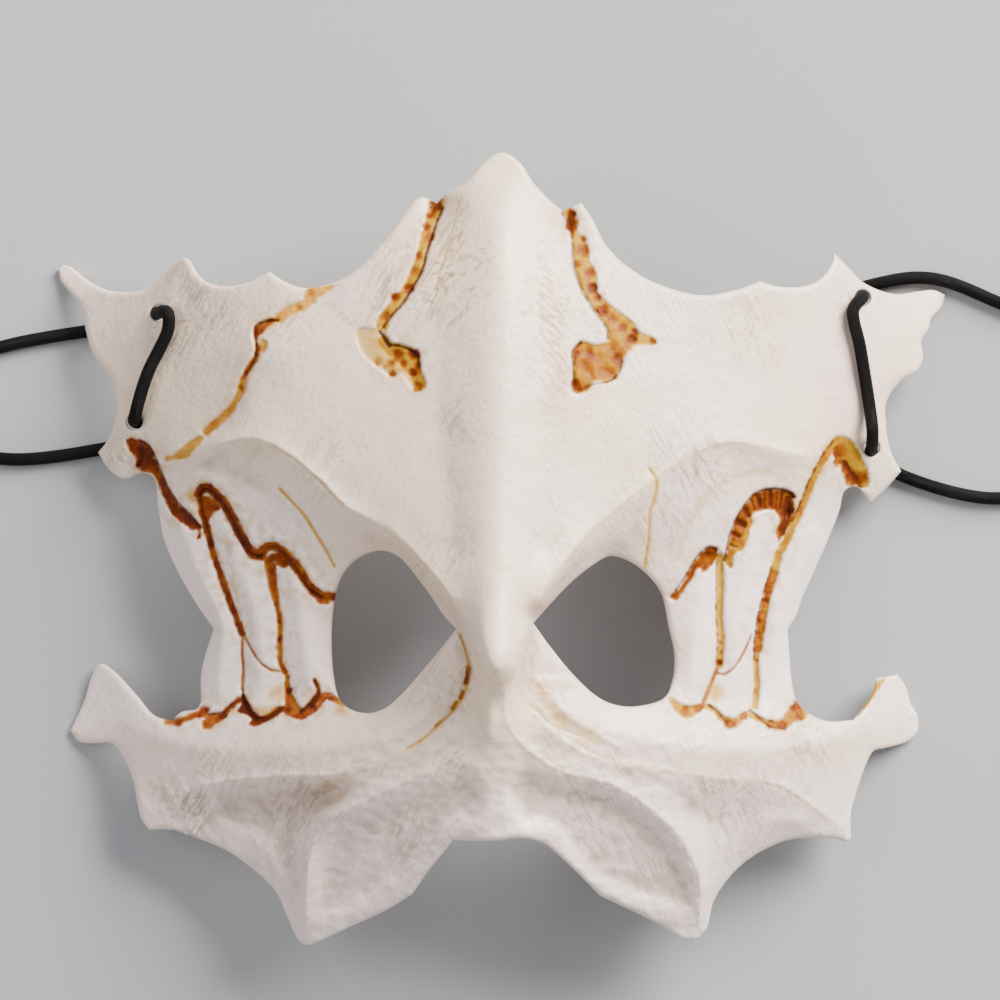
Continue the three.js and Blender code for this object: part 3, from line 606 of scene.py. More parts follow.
def relaxed_skin():
    target, held = pinned_folds()
    grid = np.where(held > 0, target, target[held > 0].mean())
    swell = BULGE * FIELD_STEP**2 / 4
    chequer = np.indices(grid.shape).sum(axis=0) % 2
    for turn in range(2 * SWEEPS):
        free = grid + OVERSHOOT * (neighbour_mean(grid) + swell - grid)
        grid = np.where(chequer == turn % 2, held * target + (1 - held) * free, grid)
    for turn in range(SOFTENING_PASSES):
        grid = (grid + neighbour_mean(grid)) / 2
    return grid


sharp_skin = relaxed_skin()
print("face heights:", round(sharp_skin.min(), 1), "to", round(sharp_skin.max(), 1), "mm")

# %% [markdown]
# The keel down the forehead is a broad rounded ridge on the real mask. The skin comes to an edge there, so
# the grid is averaged along the keel alone, and the beak's bulb below it stays as it is. Heights between
# the grid's nodes come from cubic weights, which leave no facets.

# %% The rounded keel
KEEL_ROUND = 9.0
KEEL_PASSES = 22
KEEL_X = -1.5
KEEL_END = -12  # y where the rounding ends, above the beak's bulb
KEEL_FADE = 4


def round_keel(grid):
    across, up = (np.indices(grid.shape).T * FIELD_STEP + field_low).T
    share = np.exp(-((across - KEEL_X) / KEEL_ROUND) ** 2)
    share = share / (1 + np.exp(-(up - KEEL_END) / KEEL_FADE))
    for turn in range(KEEL_PASSES):
        grid = grid + share * (neighbour_mean(grid) - grid)
    return grid


skin = round_keel(sharp_skin)


def face_height(points):
    """Smooth heights of the bare face at rows (x, y), by cubic weights on the grid."""
    at = (points - field_low) / FIELD_STEP
    cell = np.clip(np.floor(at).astype(int), 1, field_size - 3)
    t = (at - cell).T
    middle = [3 * t**3 - 6 * t**2 + 4, -3 * t**3 + 3 * t**2 + 3 * t + 1]
    weights = np.array([(1 - t) ** 3, *middle, t**3]) / 6
    height = np.zeros(len(points))
    for i in range(4):
        for j in range(4):
            height += weights[i, 0] * weights[j, 1] * skin[cell[:, 0] + i - 1, cell[:, 1] + j - 1]
    return height


print("keel lowered by up to", round((sharp_skin - skin).max(), 2), "mm")

# %% [markdown]
# ## Cracks and their paint
#
# The sculpt is lively because of its cracks: two grooves down the forehead that end in pockets, a long
# crack over the left temple, arches of gum above the teeth, seams between the teeth and a scalloped gum
# line below them. Brown paint was washed over the casting and wiped off, so it stayed in these places. The
# first kind of mark is the band, a groove of even width. Depths and widths are millimetres, tints run from
# 0, bare, to 1, dark red brown, and places are pixels of the photograph. Where the bone stands up on one
# side as a lip, a positive lip is on the left of the band's run and a negative one on the right.

# %% Bands
Band = namedtuple("Band", "half_width depth tint lip pixels")
BANDS = {
    "left temple, upper": Band(1.5, 0.6, 0.34, 0, [(312, 301), (300, 308), (290, 312), (280, 319)]),
    "left temple, lower": Band(1.25, 0.7, 0.42, 0, [(244, 380), (243, 386), (239, 397), (232, 408),
        (226, 415), (217, 423), (206, 432)]),
    "left arch": Band(1.6, 1.3, 0.86, 0.9, [(198, 494), (202, 489), (208, 488), (218, 496), (226, 506),
        (233, 519), (240, 533), (246, 544), (253, 554), (261, 555)]),
    "left inner arch": Band(1.55, 1.3, 0.8, 0.9, [(261, 553), (267, 547), (274, 546), (283, 552),
        (292, 561), (299, 569), (306, 581), (315, 591), (325, 597), (336, 596)]),
    "left outer seam, top": Band(1.25, 1.5, 0.85, 0, [(198, 494), (200, 503), (204, 520), (207, 532)]),
    "left outer seam": Band(1.1, 1.4, 0.78, 0, [(207, 530), (212, 550), (220, 574), (227, 594),
        (236, 618), (242, 634)]),
    "left outer seam, foot": Band(0.5, 0.9, 0.75, 0, [(242, 638), (242, 654), (243, 667), (242, 690)]),
    "left inner seam": Band(0.9, 1.3, 0.66, 0, [(267, 562), (270, 577), (273, 591), (278, 609),
        (280, 620), (280, 639), (280, 654), (281, 664), (285, 672)]),
    "left crown line": Band(0.42, 0.8, 0.8, 0, [(244, 636), (252, 650), (261, 663), (271, 670),
        (280, 671)]),
    "left socket line": Band(0.5, 0.3, 0.36, 0, [(281, 489), (293, 502), (305, 515), (315, 531),
        (325, 547), (335, 566)]),
    "right temple": Band(1.25, 0.8, 0.52, 0, [(838, 440), (825, 457), (813, 480), (804, 503),
        (795, 523), (786, 542), (779, 555)]),
    "right outer seam, top": Band(1.2, 1.1, 0.42, 0, [(779, 555), (776, 566), (773, 577)]),
    "right outer seam": Band(1.3, 1.3, 0.72, 0, [(774, 574), (767, 597), (762, 620), (759, 640),
        (758, 650)]),
    "right outer seam, foot": Band(0.9, 1.0, 0.42, 0, [(757, 652), (756, 663), (757, 684), (755, 707)]),
    "right inner seam": Band(1.05, 1.1, 0.35, 0, [(719, 556), (720, 585), (719, 615), (721, 640),
        (719, 665)]),
    "right inner seam, foot": Band(0.6, 0.9, 0.75, 0, [(717, 668), (712, 680), (707, 692), (701, 707)]),
    "right crown line": Band(0.4, 0.7, 0.95, 0, [(714, 673), (724, 674), (735, 666), (744, 652),
        (751, 636)]),
    "right socket line": Band(0.5, 0.3, 0.38, 0, [(648, 469), (655, 480), (654, 496), (649, 512),
        (648, 535), (644, 567)]),
    "left eye corner": Band(0.42, 0.5, 0.4, 0, [(459, 631), (466, 650), (470, 668), (465, 690),
        (457, 705), (440, 722), (425, 736), (408, 747)]),
    "left eye corner, top": Band(0.42, 0.5, 0.7, 0, [(459, 631), (465, 646), (469, 662)]),
    "left eye corner, second": Band(0.9, 0.5, 0.9, 0, [(469, 666), (468, 674), (466, 681)]),
    "left eye corner, third": Band(0.7, 0.5, 0.8, 0, [(463, 690), (461, 696)]),
    "left eye corner, fourth": Band(0.7, 0.5, 0.75, 0, [(457, 701), (453, 707)]),
    "left eye corner, last": Band(0.5, 0.4, 0.7, 0, [(441, 720), (436, 725)]),
    "right eye corner": Band(0.35, 0.3, 0.12, 0, [(531, 630), (525, 648), (521, 665), (520, 682),
        (525, 697), (538, 711), (550, 722), (568, 730), (590, 738)]),
    "right socket, dust": Band(0.9, 0.15, 0.09, 0, [(676, 560), (684, 535), (694, 512), (708, 494),
        (726, 482), (746, 474), (768, 472)]),
    "right brow, dust": Band(0.45, 0.1, 0.1, 0, [(618, 508), (640, 490), (668, 470), (700, 452),
        (735, 444), (770, 448)]),
    # A tan line round the lower edge of the nose bulb: a painted shadow under the bulb, in a shallow
    # groove.
    "nose tip": Band(0.35, 0.5, 0.11, 0, [(477, 650), (481, 664), (488, 676), (497, 682), (507, 678),
        (514, 667), (519, 652)]),
    "nose column, left": Band(0.3, 0.3, 0.07, 0, [(480, 690), (479, 708), (482, 730)]),
    "left cheek, dust": Band(0.4, 0.1, 0.12, 0, [(345, 770), (385, 758), (420, 742), (445, 722)]),
    "right cheek, dust": Band(0.4, 0.1, 0.1, 0, [(585, 748), (608, 757), (634, 765), (676, 768),
        (718, 775), (760, 781), (800, 800), (838, 826)]),
    "left brow": Band(0.4, 0.25, 0.12, 0, [(273, 446), (296, 460), (315, 477), (328, 490), (344, 506)]),
    "left brow, inner": Band(0.35, 0.25, 0.1, 0, [(385, 529), (412, 551), (440, 582), (458, 612)]),
    "right brow, inner": Band(0.35, 0.25, 0.09, 0, [(533, 615), (550, 582), (570, 556), (592, 531),
        (618, 508)]),
    "left gum": Band(1.0, 0.7, 0.72, -0.4, [(165, 723), (180, 721), (200, 714), (215, 721), (230, 708),
        (241, 700), (252, 716), (263, 719), (280, 709), (290, 712), (301, 716), (312, 706), (325, 695),
        (342, 703)]),
    "right gum": Band(0.85, 0.7, 0.4, -0.4, [(670, 699), (684, 712), (700, 706), (712, 709), (730, 724),
        (746, 714), (760, 720), (780, 728), (796, 713), (806, 711)]),
    "left gum, end": Band(0.8, 0.6, 0.9, 0, [(315, 680), (319, 690), (312, 702), (302, 712)]),
}
print("bands:", len(BANDS))

# %% [markdown]
# A pocket has no even width, so it is drawn as a patch with an outline of its own. The grooves of the
# forehead are patches too, because they widen on their way down. A pale patch is thin paint beside a
# crack. A stain texture would be quicker, but an outline puts each patch where the real mask has it.

# %% Pockets and stains
Patch = namedtuple("Patch", "depth tint pixels")
PATCHES = {
    "left forehead groove": Patch(0.6, 0.4, [(430, 206), (425, 224), (420, 239), (416, 257), (408, 277),
        (399, 293), (390, 304), (380, 316), (376, 329), (385, 333), (394, 315), (404, 304), (414, 288),
        (423, 271), (427, 255), (432, 239), (437, 224), (443, 209), (445, 200), (434, 199)]),
    "left pocket": Patch(0.8, 0.46, [(385, 333), (392, 343), (405, 346), (419, 355), (422, 372),
        (427, 386), (420, 393), (412, 383), (402, 369), (393, 362), (383, 352), (377, 341)]),
    "left pocket, pale side": Patch(0.6, 0.19, [(380, 330), (358, 331), (358, 344), (368, 360),
        (383, 372), (394, 379), (402, 376), (414, 390), (422, 388), (412, 366), (397, 352),
        (386, 340)]),
    "left temple, top": Patch(0.5, 0.34, [(340, 284), (309, 291), (303, 298), (309, 303), (321, 298),
        (333, 290)]),
    "left temple, dark": Patch(1.0, 0.74, [(280, 321), (272, 319), (257, 325), (253, 334), (255, 343),
        (254, 356), (246, 368), (242, 379), (246, 380), (252, 371), (259, 360), (261, 350), (259, 339),
        (263, 334), (269, 328), (278, 323)]),
    "left temple, spur": Patch(0.5, 0.34, [(261, 338), (268, 343), (265, 353), (259, 352)]),
    "left temple, foot": Patch(0.5, 0.34, [(206, 435), (197, 437), (187, 443), (176, 452), (165, 457),
        (165, 461), (176, 460), (187, 458), (194, 451), (202, 441)]),
    "left wing heel": Patch(1.1, 0.9, [(124, 439), (129, 437), (138, 440), (148, 445), (152, 452),
        (157, 464), (163, 477), (168, 490), (179, 506), (190, 515), (200, 525), (201, 530), (199, 539),
        (196, 541), (196, 531), (190, 531), (183, 525), (171, 515), (164, 502), (158, 489), (153, 475),
        (148, 473), (139, 472), (134, 464), (132, 455), (126, 449)]),
    "left arch": Patch(1.2, 0.72, [(199, 493), (214, 499), (221, 509), (214, 513), (209, 523),
        (208, 537), (202, 520)]),
    "left arch, pale side": Patch(0.3, 0.28, [(183, 495), (195, 487), (198, 499), (196, 509),
        (189, 502)]),
    "left inner arch": Patch(1.2, 0.76, [(267, 558), (275, 552), (286, 558), (290, 565), (283, 569),
        (274, 563), (270, 566)]),
    "left inner seam, top": Patch(0.9, 0.68, [(262, 556), (275, 560), (277, 580), (280, 602),
        (277, 610), (272, 592), (268, 574)]),
    "left inner arch, end": Patch(0.9, 0.78, [(314, 591), (325, 596), (336, 593), (335, 600),
        (325, 605), (317, 602)]),
    "left gum, first": Patch(0.8, 0.9, [(165, 722), (171, 723), (179, 718), (183, 719), (182, 724),
        (177, 727), (169, 725)]),
    "left gum, second": Patch(0.8, 0.9, [(194, 714), (202, 706), (206, 711), (201, 718), (196, 718)]),
    "left gum, third": Patch(0.8, 0.62, [(201, 721), (209, 714), (224, 711), (230, 704), (240, 699),
        (242, 687), (244, 692), (241, 703), (230, 707), (226, 718), (217, 725), (209, 730),
        (201, 729)]),
    "left gum, deep": Patch(1.5, 1.0, [(242, 687), (246, 699), (253, 708), (261, 717), (271, 714),
        (284, 706), (284, 710), (275, 717), (265, 723), (256, 727), (249, 724), (252, 719), (237, 711),
        (241, 704)]),
    "left tooth, pale foot": Patch(0.1, 0.25, [(246, 700), (254, 706), (264, 707), (279, 703),
        (284, 694), (279, 686), (269, 692), (271, 699), (279, 696), (276, 707), (261, 715),
        (253, 710)]),
    "left gum, column": Patch(0.9, 0.6, [(285, 672), (290, 675), (291, 686), (296, 699), (303, 710),
        (297, 714), (300, 719), (292, 715), (285, 712), (284, 702), (284, 686)]),
    "left gum, last": Patch(0.8, 0.78, [(297, 718), (304, 714), (315, 706), (323, 696), (333, 692),
        (340, 699), (344, 703), (337, 703), (328, 699), (323, 706), (313, 714), (304, 720)]),
    "left gum, pale end": Patch(0.1, 0.27, [(335, 706), (347, 707), (346, 714), (336, 711)]),
    "right forehead groove": Patch(0.6, 0.4, [(563, 214), (570, 230), (572, 246), (573, 262),
        (577, 279), (582, 293), (591, 308), (600, 321), (607, 331), (622, 334), (636, 329), (622, 315),
        (609, 306), (597, 293), (596, 275), (588, 259), (587, 246), (578, 233), (578, 221), (570, 208),
        (565, 208)]),
    "right pocket": Patch(0.8, 0.5, [(607, 331), (607, 341), (598, 346), (579, 343), (572, 353),
        (573, 364), (573, 375), (572, 391), (574, 394), (587, 392), (593, 384), (609, 382), (618, 373),
        (622, 362), (629, 351), (637, 342), (636, 330), (622, 330)]),
    "right pocket, spur": Patch(0.5, 0.36, [(634, 331), (655, 341), (655, 345), (645, 347),
        (632, 346)]),
    "right temple pocket": Patch(0.9, 0.46, [(832, 443), (841, 436), (850, 438), (859, 448), (866, 459),
        (871, 477), (869, 489), (859, 487), (850, 487), (843, 471), (834, 457)]),
    "right arch": Patch(1.3, 0.78, [(726, 552), (731, 530), (735, 519), (744, 505), (756, 493),
        (770, 489), (788, 491), (795, 496), (794, 503), (795, 512), (788, 530), (779, 542), (776, 532),
        (778, 516), (770, 510), (760, 512), (752, 516), (744, 530), (736, 544)]),
    "right arch, pale foot": Patch(0.6, 0.6, [(724, 560), (733, 540), (750, 516), (753, 522),
        (750, 530), (744, 549), (735, 555), (731, 569), (724, 562)]),
    "right inner arch": Patch(1.2, 0.82, [(666, 597), (678, 588), (687, 574), (696, 558), (708, 547),
        (717, 549), (716, 558), (710, 567), (703, 573), (698, 569), (692, 578), (682, 592),
        (675, 600)]),
    "right gum, inner": Patch(0.8, 0.46, [(670, 698), (678, 702), (687, 705), (696, 705), (705, 702),
        (698, 712), (687, 718), (678, 714), (671, 707)]),
    "right gum, middle": Patch(0.8, 0.5, [(709, 705), (719, 712), (731, 718), (742, 713), (747, 714),
        (740, 725), (731, 729), (721, 723)]),
    "right gum, outer": Patch(0.8, 0.52, [(750, 709), (760, 716), (772, 721), (783, 718), (795, 700),
        (804, 707), (809, 716), (797, 723), (783, 731), (772, 728), (758, 721)]),
    "right tooth, pale foot": Patch(0.1, 0.22, [(710, 684), (721, 686), (724, 695), (714, 705),
        (709, 700)]),
    "right eye corner, first": Patch(0.1, 0.13, [(533, 684), (543, 681), (549, 694), (541, 701)]),
    "right eye corner, second": Patch(0.1, 0.15, [(545, 705), (557, 706), (568, 721), (557, 726)]),
    "right eye corner, third": Patch(0.1, 0.12, [(571, 721), (586, 727), (600, 739), (581, 740)]),
    "right knob": Patch(0.3, 0.42, [(880, 681), (889, 679), (882, 691), (873, 705), (861, 716),
        (859, 718), (868, 702)]),
}
print("patches:", len(PATCHES))

# %% [markdown]
# Along one side of a groove the bone above throws a shadow, and the paint lies thickest there. These thin
# dark edges are that shadow painted in, with the thickest paint, and they make the cracks look deep. A
# shader that darkens low places would blur them, because they are less than a millimetre wide, so they
# are drawn as lines. The gum in the right arch is also ribbed, and each rib is a short dark line from the
# arch's upper border to its lower one.

# %% Dark edges and ribs
Line = namedtuple("Line", "half_width depth pixels")
RIB_DEPTH = 0.5
LINES = {
    "left forehead": Line(0.45, 0.9, [(443, 209), (437, 224), (432, 239), (427, 255), (423, 271),
        (414, 288), (404, 304), (394, 315), (384, 328)]),
    "left pocket throat": Line(0.6, 0.4, [(381, 333), (385, 339), (390, 347)]),
    "left pocket brow": Line(0.35, 0.4, [(390, 346), (400, 347), (409, 350), (418, 357), (419, 364)]),
    "right forehead": Line(0.4, 0.9, [(563, 214), (570, 230), (572, 246), (573, 262), (577, 279),
        (582, 293), (591, 308), (600, 321), (606, 331), (607, 340)]),
    "right pocket side": Line(0.4, 0.8, [(580, 344), (572, 353), (573, 364), (573, 391)]),
    "right pocket foot": Line(0.32, 0.4, [(576, 393), (593, 385), (609, 382), (618, 373), (622, 363)]),
    "left temple": Line(0.3, 0.5, [(279, 321), (268, 322), (257, 326), (256, 336), (258, 348),
        (255, 360), (247, 374)]),
    "left wing": Line(0.45, 0.8, [(138, 440), (148, 446), (154, 457), (160, 471), (165, 484),
        (172, 496), (181, 507), (191, 516), (200, 527)]),
    "left wing slot": Line(0.6, 0.8, [(141, 449), (140, 458), (136, 466)]),
    "left arch": Line(0.42, 0.6, [(199, 494), (207, 489), (217, 496), (226, 507), (233, 520),
        (240, 534), (247, 547), (254, 555), (262, 556)]),
    "left arch leg": Line(0.35, 0.5, [(200, 495), (201, 505), (204, 518), (208, 532), (212, 546)]),
    "left inner arch": Line(0.3, 0.5, [(274, 546), (284, 552), (293, 562), (301, 574), (310, 588),
        (322, 596)]),
    "left gum, third": Line(0.35, 0.4, [(209, 715), (224, 712), (232, 704), (241, 700)]),
    "left gum, deep": Line(0.7, 0.4, [(243, 696), (248, 708), (256, 719), (266, 719), (280, 710)]),
    "left gum, last": Line(0.5, 0.5, [(301, 712), (311, 703), (319, 693), (315, 681)]),
    "right temple": Line(0.3, 0.4, [(834, 441), (821, 459), (810, 480), (801, 503), (792, 522)]),
    "right temple pocket": Line(0.8, 0.4, [(845, 462), (854, 474), (862, 485)]),
    "right arch": Line(0.4, 0.6, [(724, 560), (731, 530), (744, 505), (756, 493), (770, 489),
        (788, 491), (795, 497)]),
    "right arch end": Line(0.7, 0.5, [(789, 505), (788, 518), (782, 534)]),
    "right inner arch": Line(0.35, 0.5, [(675, 590), (687, 573), (696, 557), (708, 547), (716, 548)]),
    "right inner seam": Line(0.22, 0.4, [(716, 560), (716, 585), (716, 615), (717, 640), (716, 665)]),
    "right outer seam": Line(0.32, 0.4, [(772, 568), (765, 590), (758, 618), (755, 640), (754, 660)]),
    "right gum, middle": Line(0.35, 0.4, [(709, 705), (719, 714), (727, 723)]),
    "right gum, outer": Line(0.35, 0.4, [(750, 710), (760, 719), (772, 727), (785, 729)]),
}
RIBS = [  # half width, and the ends at the arch's upper and at its lower border
    (0.35, (730, 545), (736, 547)), (0.6, (732, 533), (738, 536)), (0.9, (737, 521), (743, 525)),
    (0.75, (744, 509), (748, 516)), (0.35, (751, 500), (755, 511)), (0.6, (757, 495), (760, 507)),
    (0.3, (764, 492), (765, 509)), (0.55, (770, 491), (770, 505)), (0.3, (777, 492), (776, 511)),
    (0.5, (782, 494), (780, 508)), (1.0, (788, 499), (785, 514)), (0.7, (788, 512), (781, 531)),
]
for number, (half_width, top, foot) in enumerate(RIBS):
    LINES[f"right arch rib {number}"] = Line(half_width, RIB_DEPTH, [top, foot])
print("dark edges:", len(LINES), "of them ribs:", len(RIBS))

# %% [markdown]
# Small pits in the grooves and pockets hold the darkest paint, and pores line the seams between the
# teeth. Each becomes a round dent with a coat of its own, which is enough at this size.

# %% Pits and pores
SPOTS = {  # x and y of the pit, its radius in pixels, and its tint
    "left forehead": [(426, 228, 4, 0.95), (419, 257, 4, 0.84), (410, 290, 5, 0.95), (396, 298, 5, 0.9),
        (436, 206, 7, 0.9), (430, 216, 4, 0.72), (431, 238, 5, 0.77), (415, 272, 5, 0.64),
        (386, 318, 5, 0.64)],
    "left pocket": [(379, 363, 4, 0.64), (393, 375, 4, 0.77), (413, 373, 4, 0.95), (418, 388, 5, 0.9),
        (386, 369, 3, 0.64), (400, 356, 6, 0.84), (404, 364, 4, 0.79), (392, 364, 4, 0.7),
        (415, 355, 6, 0.95), (419, 366, 4, 0.9)],
    "right forehead": [(571, 226, 6.5, 0.95), (583, 252, 6, 0.84), (592, 289, 6, 0.9),
        (602, 312, 6, 0.84), (589, 274, 5, 0.77), (583, 240, 4, 0.7), (572, 215, 5, 0.95),
        (578, 266, 4, 0.7), (597, 300, 5, 0.77), (612, 320, 5, 0.77), (622, 328, 5, 0.7)],
    "right pocket": [(631, 340, 5, 0.95), (634, 333, 4, 0.83), (652, 343, 3, 0.79), (588, 353, 5, 0.95),
        (577, 355, 4, 0.9), (575, 386, 6, 0.95), (618, 360, 6, 0.84), (587, 373, 6, 0.7),
        (604, 371, 6, 0.77), (612, 376, 5, 0.79), (598, 358, 5, 0.67), (610, 348, 5, 0.7),
        (583, 364, 4, 0.7)],
    "left gum": [(206, 711, 4, 0.95), (222, 716, 4, 0.9), (231, 706, 3, 0.9), (288, 711, 4, 0.95),
        (301, 716, 4, 0.95), (312, 707, 4, 0.9), (331, 696, 4, 0.9), (290, 690, 4, 0.85)],
    "left temple": [(242, 388, 3, 0.78), (311, 292, 4, 0.6), (299, 308, 3, 0.6)],
    "right temple pocket": [(840, 452, 7, 0.86), (838, 462, 5, 0.8), (853, 479, 7, 0.86),
        (863, 478, 6, 0.8), (846, 468, 5, 0.74)],
    "right arch": [(789, 511, 6, 0.9), (738, 525, 5, 0.85), (760, 503, 5, 0.88), (706, 556, 5, 0.85)],
    "right gum": [(797, 708, 6, 0.95), (784, 726, 5, 0.7), (698, 708, 4, 0.66), (744, 716, 4, 0.66),
        (730, 724, 5, 0.66), (770, 724, 5, 0.62), (684, 712, 5, 0.55), (800, 716, 4, 0.84)],
    "seam pores": [(763, 592, 1.5, 1), (766, 601, 1.6, 1), (761, 612, 1.5, 1), (759, 622, 2, 1),
        (756, 631, 1.8, 1), (759, 634, 1.4, 1), (757, 661, 1.5, 0.9), (755, 690, 1.6, 0.9),
        (720, 643, 1.5, 0.9), (719, 662, 2, 0.9), (722, 652, 1.3, 0.9), (279, 639, 1.8, 1),
        (276, 648, 1.3, 0.9), (280, 622, 1.4, 0.9)],
}
print("pits:", sum(len(row) for row in SPOTS.values()))

# %% [markdown]
# Sharp crests run along the brows, the cheeks and the jaws, and the plates between them are sunk. The
# folds above are too soft for that, so each crest is a thin ridge on top of the face, and each hollow lets
# the bone inside an outline down by a depth, over a wall that is so many millimetres wide on each side of
# its middle.

# %% Crests and sunk plates
Crest = namedtuple("Crest", "height pixels")
CRESTS = {
    "left brow": Crest(0.9, [(202, 455), (223, 443), (252, 438), (271, 443), (296, 458), (311, 470),
        (325, 481), (344, 503), (380, 525), (410, 548), (440, 580), (460, 612)]),
    "right brow": Crest(0.7, [(533, 614), (550, 580), (570, 553), (590, 531), (620, 505), (645, 485),
        (680, 462), (720, 443), (760, 446), (800, 455)]),
    "left cheek edge": Crest(0.7, [(160, 812), (190, 790), (223, 781), (275, 775), (330, 773),
        (385, 760), (433, 735), (455, 712)]),
    "right cheek edge": Crest(0.7, [(545, 725), (585, 752), (634, 766), (676, 770), (718, 777),
        (755, 780), (783, 786), (815, 808), (840, 828)]),
    "left jaw": Crest(0.9, [(303, 928), (306, 880), (310, 847), (325, 821), (345, 808), (365, 800),
        (404, 781), (433, 768), (462, 752)]),
    "right jaw": Crest(0.9, [(505, 690), (505, 712), (515, 734), (538, 755), (564, 770), (606, 780),
        (648, 805), (676, 831), (692, 858), (699, 878), (700, 920)]),
    "left nose side": Crest(0.4, [(462, 640), (455, 672), (440, 700), (415, 724), (380, 742)]),
    "right nose side": Crest(0.5, [(531, 645), (536, 672), (552, 698), (578, 722), (615, 742)]),
}
Hollow = namedtuple("Hollow", "depth wall pixels")
HOLLOWS = {
    "left jaw plate": Hollow(2.6, 4.0, [(306, 925), (310, 852), (326, 824), (366, 803), (405, 784),
        (440, 769), (475, 765), (492, 790), (480, 824), (452, 836), (412, 882), (350, 918)]),
    "right jaw plate": Hollow(3.2, 3.5, [(698, 915), (697, 880), (675, 833), (647, 807), (605, 782),
        (562, 774), (522, 760), (500, 785), (515, 824), (548, 838), (588, 882), (650, 912)]),
    "left scoop": Hollow(2.6, 3.0, [(205, 789), (240, 782), (300, 777), (352, 782), (328, 812),
        (308, 842), (301, 900), (284, 884), (255, 842), (215, 822)]),
    "right scoop": Hollow(0.4, 3.5, [(625, 768), (676, 773), (718, 780), (775, 788), (818, 818),
        (760, 828), (728, 852), (710, 892), (701, 866), (682, 828), (655, 800)]),
}
print("crests:", len(CRESTS), "hollows:", len(HOLLOWS))

# %% [markdown]
# The wiping left its own traces. Short brush strokes stand in rows on the forehead, the wings and a
# cheek, some areas of bone stayed grubby, and a yellow haze lies beside the cracks. Noise alone would
# spread them evenly over the mask, so they are listed by place.

# %% Strokes, grime and dust
HATCH = {  # the first stroke's start, the step to the next, their number, run and cover
    "left brow": ((312, 472), (4.4, 4.3), 7, (6, 5), 0.55),
    "right of the keel": ((538, 258), (1.3, 9.2), 14, (10, 8), 0.7),
    "right of the keel, outer": ((534, 282), (1.6, 11.6), 9, (9, 7), 0.6),
    "right of the keel, lower": ((546, 268), (1.4, 12.4), 9, (8, 7), 0.6),
    "left of the keel": ((463, 197), (-2.7, 10.4), 12, (-3, 9), 0.8),
    "left of the keel, inner": ((470, 204), (-3.4, 14), 7, (-4, 8), 0.5),
    "left groove": ((372, 262), (4, 6.5), 5, (6, -4), 0.5),
    "left temple": ((322, 306), (6.5, 4.5), 5, (8, -3), 0.55),
    "left wing": ((193, 290), (7.5, 4), 6, (2, 24), 0.32),
    "right cheek": ((800, 738), (6.5, 3), 5, (-3, 13), 0.5),
    "right wing": ((818, 372), (2.5, 8.5), 6, (24, -3), 0.26),
}
GRIME = {  # x and y, the patch's radius in pixels, and how much
    "forehead": [(450, 280, 56, 1.0), (395, 305, 42, 0.8), (545, 310, 50, 0.9), (556, 380, 36, 0.7),
        (405, 250, 30, 0.6), (470, 420, 40, 0.5), (620, 260, 40, 0.4)],
    "wings": [(195, 320, 52, 0.8), (285, 330, 40, 0.5), (745, 330, 46, 0.6), (850, 300, 26, 0.5),
        (120, 455, 16, 1.0)],
    "brows": [(320, 470, 42, 0.5), (290, 515, 44, 0.2), (250, 465, 44, 0.25), (690, 470, 50, 0.8),
        (655, 520, 40, 0.7), (440, 560, 30, 0.5), (560, 545, 26, 0.5)],
    "cheeks": [(440, 690, 34, 0.6), (560, 715, 44, 0.6), (205, 770, 40, 0.5), (700, 745, 40, 0.4),
        (800, 740, 40, 0.6)],
    "jaws": [(290, 805, 60, 0.6), (400, 820, 60, 0.45), (450, 770, 34, 0.5), (590, 815, 60, 0.55),
        (650, 870, 40, 0.5), (730, 800, 56, 0.6), (190, 815, 34, 0.9)],
}
DUST = {  # x and y, the patch's radius in pixels, and how much
    "right eye corner": [(533, 690, 9, 0.2), (548, 704, 13, 0.3), (565, 718, 15, 0.34),
        (588, 730, 15, 0.3), (530, 655, 8, 0.16)],
    "forehead": [(548, 300, 24, 0.36), (556, 350, 20, 0.34), (562, 390, 16, 0.26), (545, 250, 16, 0.26),
        (460, 210, 12, 0.26), (450, 250, 14, 0.26), (438, 310, 16, 0.2)],
    "keel": [(464, 440, 12, 0.12), (466, 480, 13, 0.16), (469, 530, 13, 0.18), (474, 580, 12, 0.16),
        (590, 560, 14, 0.12)],
    "jaws": [(335, 788, 17, 0.3), (420, 750, 16, 0.12), (625, 760, 18, 0.2), (156, 790, 15, 0.26),
        (430, 800, 20, 0.14)],
}
print("rows of strokes:", len(HATCH))

# %% [markdown]
# All marks become smooth lines on the mask. The strokes of a row are scattered a little by noise, because
# no hand keeps a row even. Together the lines say where the mesh has to be fine.

# %% Lines of all marks
LINE_STEP = 0.35
STROKE_SCATTER = 4  # pixels
STROKE_PACE = 0.7  # how far the noise runs from one stroke to the next
STROKE_SEED = 2.5


def mark_line(pixels):
    return smooth_line(from_photo(pixels), LINE_STEP)


def border_of(pixels):
    return mark_line([*pixels, pixels[0]])


band_lines = {name: mark_line(band.pixels) for name, band in BANDS.items()}
dark_lines = {name: mark_line(line.pixels) for name, line in LINES.items()}
crest_lines = {name: mark_line(crest.pixels) for name, crest in CRESTS.items()}
borders = {name: border_of(patch.pixels) for name, patch in PATCHES.items()}
strokes = []
for start, step, count, run, share in HATCH.values():
    for number in range(count):
        scatter = STROKE_SCATTER * noise.noise((start[0], STROKE_PACE * number, STROKE_SEED))
        first = np.array(start) + number * np.array(step) + scatter
        strokes.append((mark_line([first, first + run]), share))
marks = [line for lines in (band_lines, dark_lines, borders, crest_lines) for line in lines.values()]
marks = np.vstack(marks + [line for line, share in strokes])
print("marks:", len(marks), "points")

